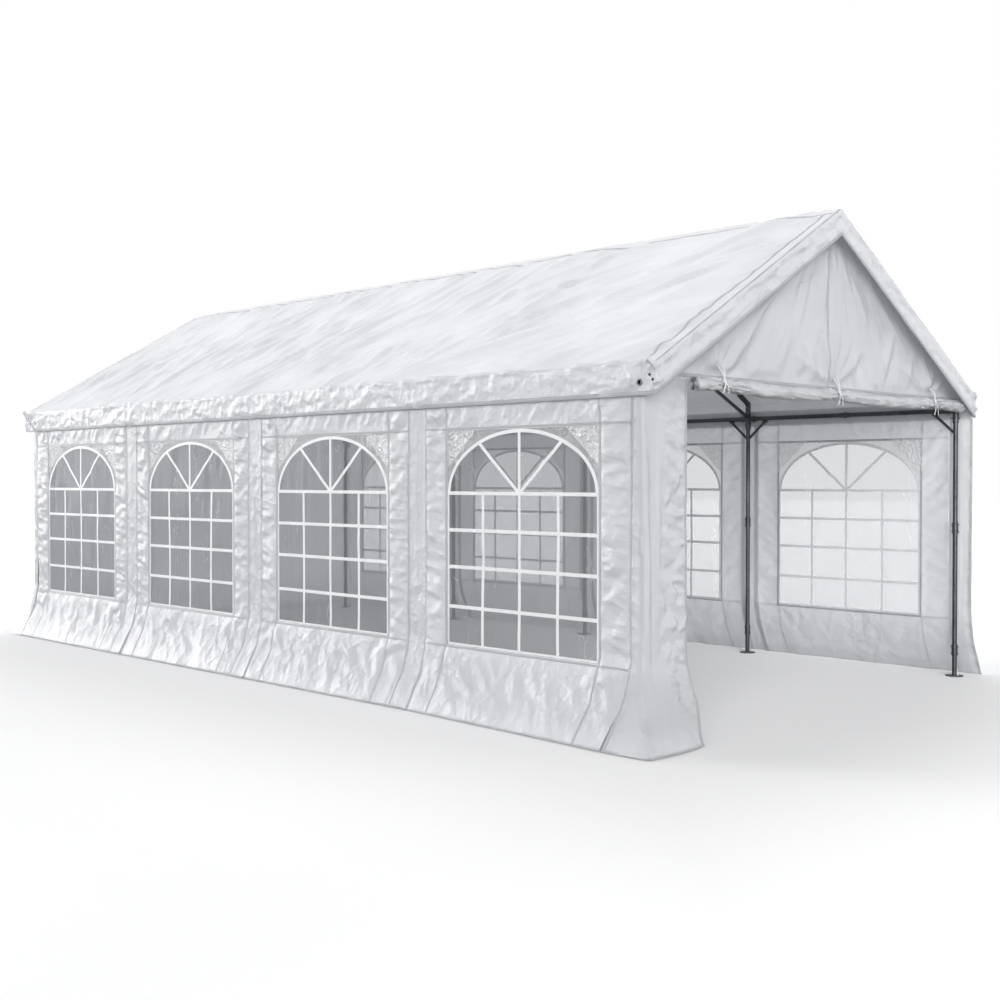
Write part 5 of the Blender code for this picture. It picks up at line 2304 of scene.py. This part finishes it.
@dataclass
class SteelFrame:
    """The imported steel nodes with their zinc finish, and the bolts through their joints.

    Args:
        finishes: The tent's materials.
        prefixes: How the names of the steel nodes start.
        collar_bolt: Distance of a collar's two bolts from its middle.
        head_bolt: Height of the bolt through a post's head.
        sleeve_bolt: Distance of a rafter's bolts from its ends.
        rail_bolt: Distance of a rail's bolt from its frame.
    """

    finishes: Finishes
    prefixes: tuple[str, ...] = ("post_", "roof_frame_", "eave_rail_", "ridge_rail_")
    collar_bolt: float = 0.028
    head_bolt: float = 2.09
    sleeve_bolt: float = 0.12
    rail_bolt: float = 0.06

    def bolt(self, mesh: Mesh, middle: Sequence[float], axis: Sequence[float], reach: float,
             ways: Sequence[int] = (-1, 1)) -> None:
        """Adds one hex bolt with its washer and nut through a joint.

        Args:
            mesh: Where it goes.
            middle: The joint's middle.
            axis: The bolt's direction.
            reach: Distance from the middle to the washers.
            ways: The ends that aren't pressed flat under cloth.
        """
        for way in ways:
            direction = np.array(axis, float) * way
            foot = np.array(middle) + direction * (reach - 0.0005)
            mesh.add_turned(foot, direction, [(0.0085, 0.0), (0.009, 0.0004), (0.009, 0.0016), (0.0085, 0.002)], 16)
            mesh.add_turned(foot + direction * 0.002, direction,
                            [(0.0062, 0.0), (0.0065, 0.0005), (0.0065, 0.004), (0.0058, 0.005)], 6)
        if 1 in ways:
            tip = np.array(middle) + np.array(axis, float) * (reach + 0.006)
            mesh.add_turned(tip, axis, [(0.0032, 0.0), (0.0032, 0.006), (0.0024, 0.0068)], 12)

    def build(self) -> None:
        """Gives the steel its finish and adds the bolts."""
        for name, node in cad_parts.items():
            if name.startswith(self.prefixes):
                for slot in node.material_slots:
                    slot.material = self.finishes.tube
        for number, y in enumerate(TENT.frame_lines, 1):
            mesh = Mesh()
            for side in Side:
                x = side.value * TENT.half_width
                wrapped = (-1, 1)
                if number == 1 and side is Side.LEFT:
                    wrapped = (-1,)
                elif number == len(TENT.frame_lines):
                    wrapped = (1,)
                on_post = [height + way * self.collar_bolt for height in TENT.collar_heights for way in (-1, 1)]
                for height in (*on_post, self.head_bolt):
                    self.bolt(mesh, (x, y, height), (0.0, -1.0, 0.0), TENT.sleeve, wrapped)
                run = self.sleeve_bolt / math.hypot(1, TENT.slope)
                for across, height in ((x - side.value * run, TENT.rafter_eave + run * TENT.slope),
                                       (side.value * run, TENT.rafter_ridge - run * TENT.slope)):
                    self.bolt(mesh, (across, y, height), (0.0, -1.0, 0.0), TENT.sleeve)
                for way in (-1, 1):
                    if abs(y + way * self.rail_bolt) < TENT.half_length:
                        for along in (way * self.rail_bolt, way):
                            self.bolt(mesh, (x, y + along, TENT.rail_height), (0.0, 0.0, -1.0), TENT.socket)
            piece = mesh.build(f"joint_bolts_{number}", [self.finishes.plated])
            place_piece(piece, Slot.STEEL)


@dataclass(frozen=True)
class Lamp:
    """A broad distant lamp.

    Args:
        name: Its name.
        reach: Towards the lamp, as long as the share of full white that it gives a sheet which faces it.
        spread: How wide it looks, in degrees.
    """

    name: str
    reach: Triple
    spread: float


@dataclass
class Studio:
    """The pale floor, the soft lights and the camera.

    Args:
        floor_size: Length of the floor's sides.
        eye: Where the camera stands.
        yaw: Its turn to the right of the tent's length.
        pitch: How far it looks up.
        lens: Its focal length in millimetres.
        floor_near: Colour of the floor beside the tent, as the camera sees it: a painted shadow round the tent.
        floor_far: The same further away.
        floor_bounce: Colour of the floor for the light that it throws back.
        horizon_light: Brightness of the dome near the floor.
        zenith_light: Its brightness straight above.
        softbox_light: What the softbox adds to it.
        lamps: The broad lamps.
    """

    floor_size: float = 160.0
    eye: Triple = (-7.952, -8.824, 1.588)
    yaw: float = 0.7795
    pitch: float = -0.0154
    lens: float = 46.35
    floor_near: str = "#E2E2E2"
    floor_far: str = "#F2F2F2"
    floor_bounce: str = "#9C9C9C"
    horizon_light: float = 0.22
    zenith_light: float = 0.40
    softbox_light: float = 0.30
    lamps: tuple[Lamp, ...] = (
        Lamp("rear_key", (-0.26, 1.00, 0.10), 45.0),
        Lamp("near_key", (-0.80, -0.85, 0.15), 55.0),
        Lamp("front_fill", (0.40, -0.25, 0.05), 60.0),
        Lamp("back_key", (0.07, 0.22, 0.23), 60.0),
        Lamp("right_glow", (0.62, 0.24, 0.22), 30.0))

    def floor(self) -> None:
        """A pale matt floor that is white to the camera and throws back less light, which keeps folds crisp."""
        recipe = Recipe("matt_studio_floor")
        add = recipe.add
        place = add("TexCoord").outputs["Object"]
        parts = add("SeparateXYZ", (place,))
        # Painted shadow: the floor is greyer close to the tent and pales to its plain colour 0.2 to 2.6 m away from
        # it
        gaps = []
        for axis, half in ((0, 2.2), (1, 4.2)):
            size = add("Math", (parts.outputs[axis],), operation="ABSOLUTE")
            gaps.append(add("Math", (size, half), operation="SUBTRACT"))
        away = add("Math", (gaps[0], gaps[1]), operation="MAXIMUM")
        worn_plating_and_painted_floor_shadow = add("MapRange", {"Value": away, "From Min": 0.2, "From Max": 2.6}, interpolation_type="SMOOTHSTEP")
        seen = add("Mix", {0: worn_plating_and_painted_floor_shadow, 6: linear(self.floor_near), 7: linear(self.floor_far)}, data_type="RGBA")
        bright = add("BsdfDiffuse", {"Color": seen.outputs[2], "Roughness": 0.6})
        dim = add("BsdfDiffuse", {"Color": linear(self.floor_bounce)})
        path = add("LightPath")
        mixed = add("MixShader", (path.outputs["Is Camera Ray"], dim, bright))
        material = recipe.finish(mixed)
        mesh = bpy.data.meshes.new("studio_floor")
        half = self.floor_size / 2
        mesh.from_pydata([(-half, -half, 0), (half, -half, 0), (half, half, 0), (-half, half, 0)], [], [(0, 1, 2, 3)])
        mesh.materials.append(material)
        floor = bpy.data.objects.new("studio_floor", mesh)
        bpy.context.scene.collection.objects.link(floor)

    def sky(self) -> None:
        """A white backdrop for the camera; for the tent, a grey dome with one large softbox high behind it."""
        world = bpy.data.worlds.new("studio_dome")
        bpy.context.scene.world = world
        world.use_nodes = True
        world.node_tree.nodes.clear()
        recipe = Recipe.on(world.node_tree)
        add = recipe.add
        way = add("SeparateXYZ", (add("TexCoord").outputs["Generated"],))
        upper = add("MapRange", {"Value": way.outputs[2], "From Min": 0.0, "From Max": 1.0,
                    "To Min": self.horizon_light, "To Max": self.zenith_light})
        height = add("MapRange", {"Value": way.outputs[2], "From Min": 0.42, "From Max": 0.75},
                     interpolation_type="SMOOTHSTEP")
        behind = add("MapRange", {"Value": way.outputs[1], "From Min": -0.1, "From Max": 0.35},
                     interpolation_type="SMOOTHSTEP")
        box = add("Math", (height, behind), operation="MULTIPLY")
        light = add("Math", (box, self.softbox_light, upper), operation="MULTIPLY_ADD")
        dome = add("Background", {"Color": linear("#FBFCFF"), "Strength": light})
        backdrop = add("Background", {"Color": (1.0, 1.0, 1.0, 1.0)})
        path = add("LightPath")
        mix = add("MixShader", (path.outputs["Is Camera Ray"], dome, backdrop))
        add("OutputWorld", {"Surface": mix})

    def lights(self) -> None:
        """Broad lamps that rake along each wall and slope, with two on the right that glow through its wall."""
        for lamp in self.lamps:
            sun = bpy.data.lights.new(lamp.name, "SUN")
            sun.energy = math.pi * math.sqrt(sum(part * part for part in lamp.reach))
            sun.angle = math.radians(lamp.spread)
            light = bpy.data.objects.new(lamp.name, sun)
            light.rotation_euler = (-Vector(lamp.reach)).to_track_quat("-Z", "Y").to_euler()
            bpy.context.scene.collection.objects.link(light)

    def camera(self) -> None:
        """The viewpoint solved from the window corners, hems and posts."""
        lens = bpy.data.cameras.new("camera")
        lens.lens = self.lens
        lens.sensor_width = 36.0
        lens.clip_end = 300.0
        camera = bpy.data.objects.new("camera", lens)
        camera.location = self.eye
        camera.rotation_euler = (math.pi / 2 + self.pitch, 0.0, -self.yaw)
        bpy.context.scene.collection.objects.link(camera)
        bpy.context.scene.camera = camera

    def build(self) -> None:
        """Sets up the whole studio."""
        self.camera()
        self.floor()
        self.sky()
        self.lights()
        view = bpy.context.scene.view_settings
        view.view_transform = "Standard"
        view.look = "None"
        view.exposure = 0.0
        view.gamma = 1.0


def main() -> None:
    """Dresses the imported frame, piece by piece."""
    Studio().build()
    finishes = Finishes()
    rods = frame_rods()
    SteelFrame(finishes).build()
    RoofCover(finishes, rods).build()
    LongWall(Side.LEFT, finishes, rods, strength=1.0).build()
    LongWall(Side.RIGHT, finishes, rods, strength=0.7).build()
    Corners(finishes, rods).build()
    GablePanel(Gable.FRONT, finishes, rods, seed=501).build()
    GablePanel(Gable.REAR, finishes, rods, seed=502).build()
    DoorRoll(finishes).build()


if __name__ == "__main__":
    main()
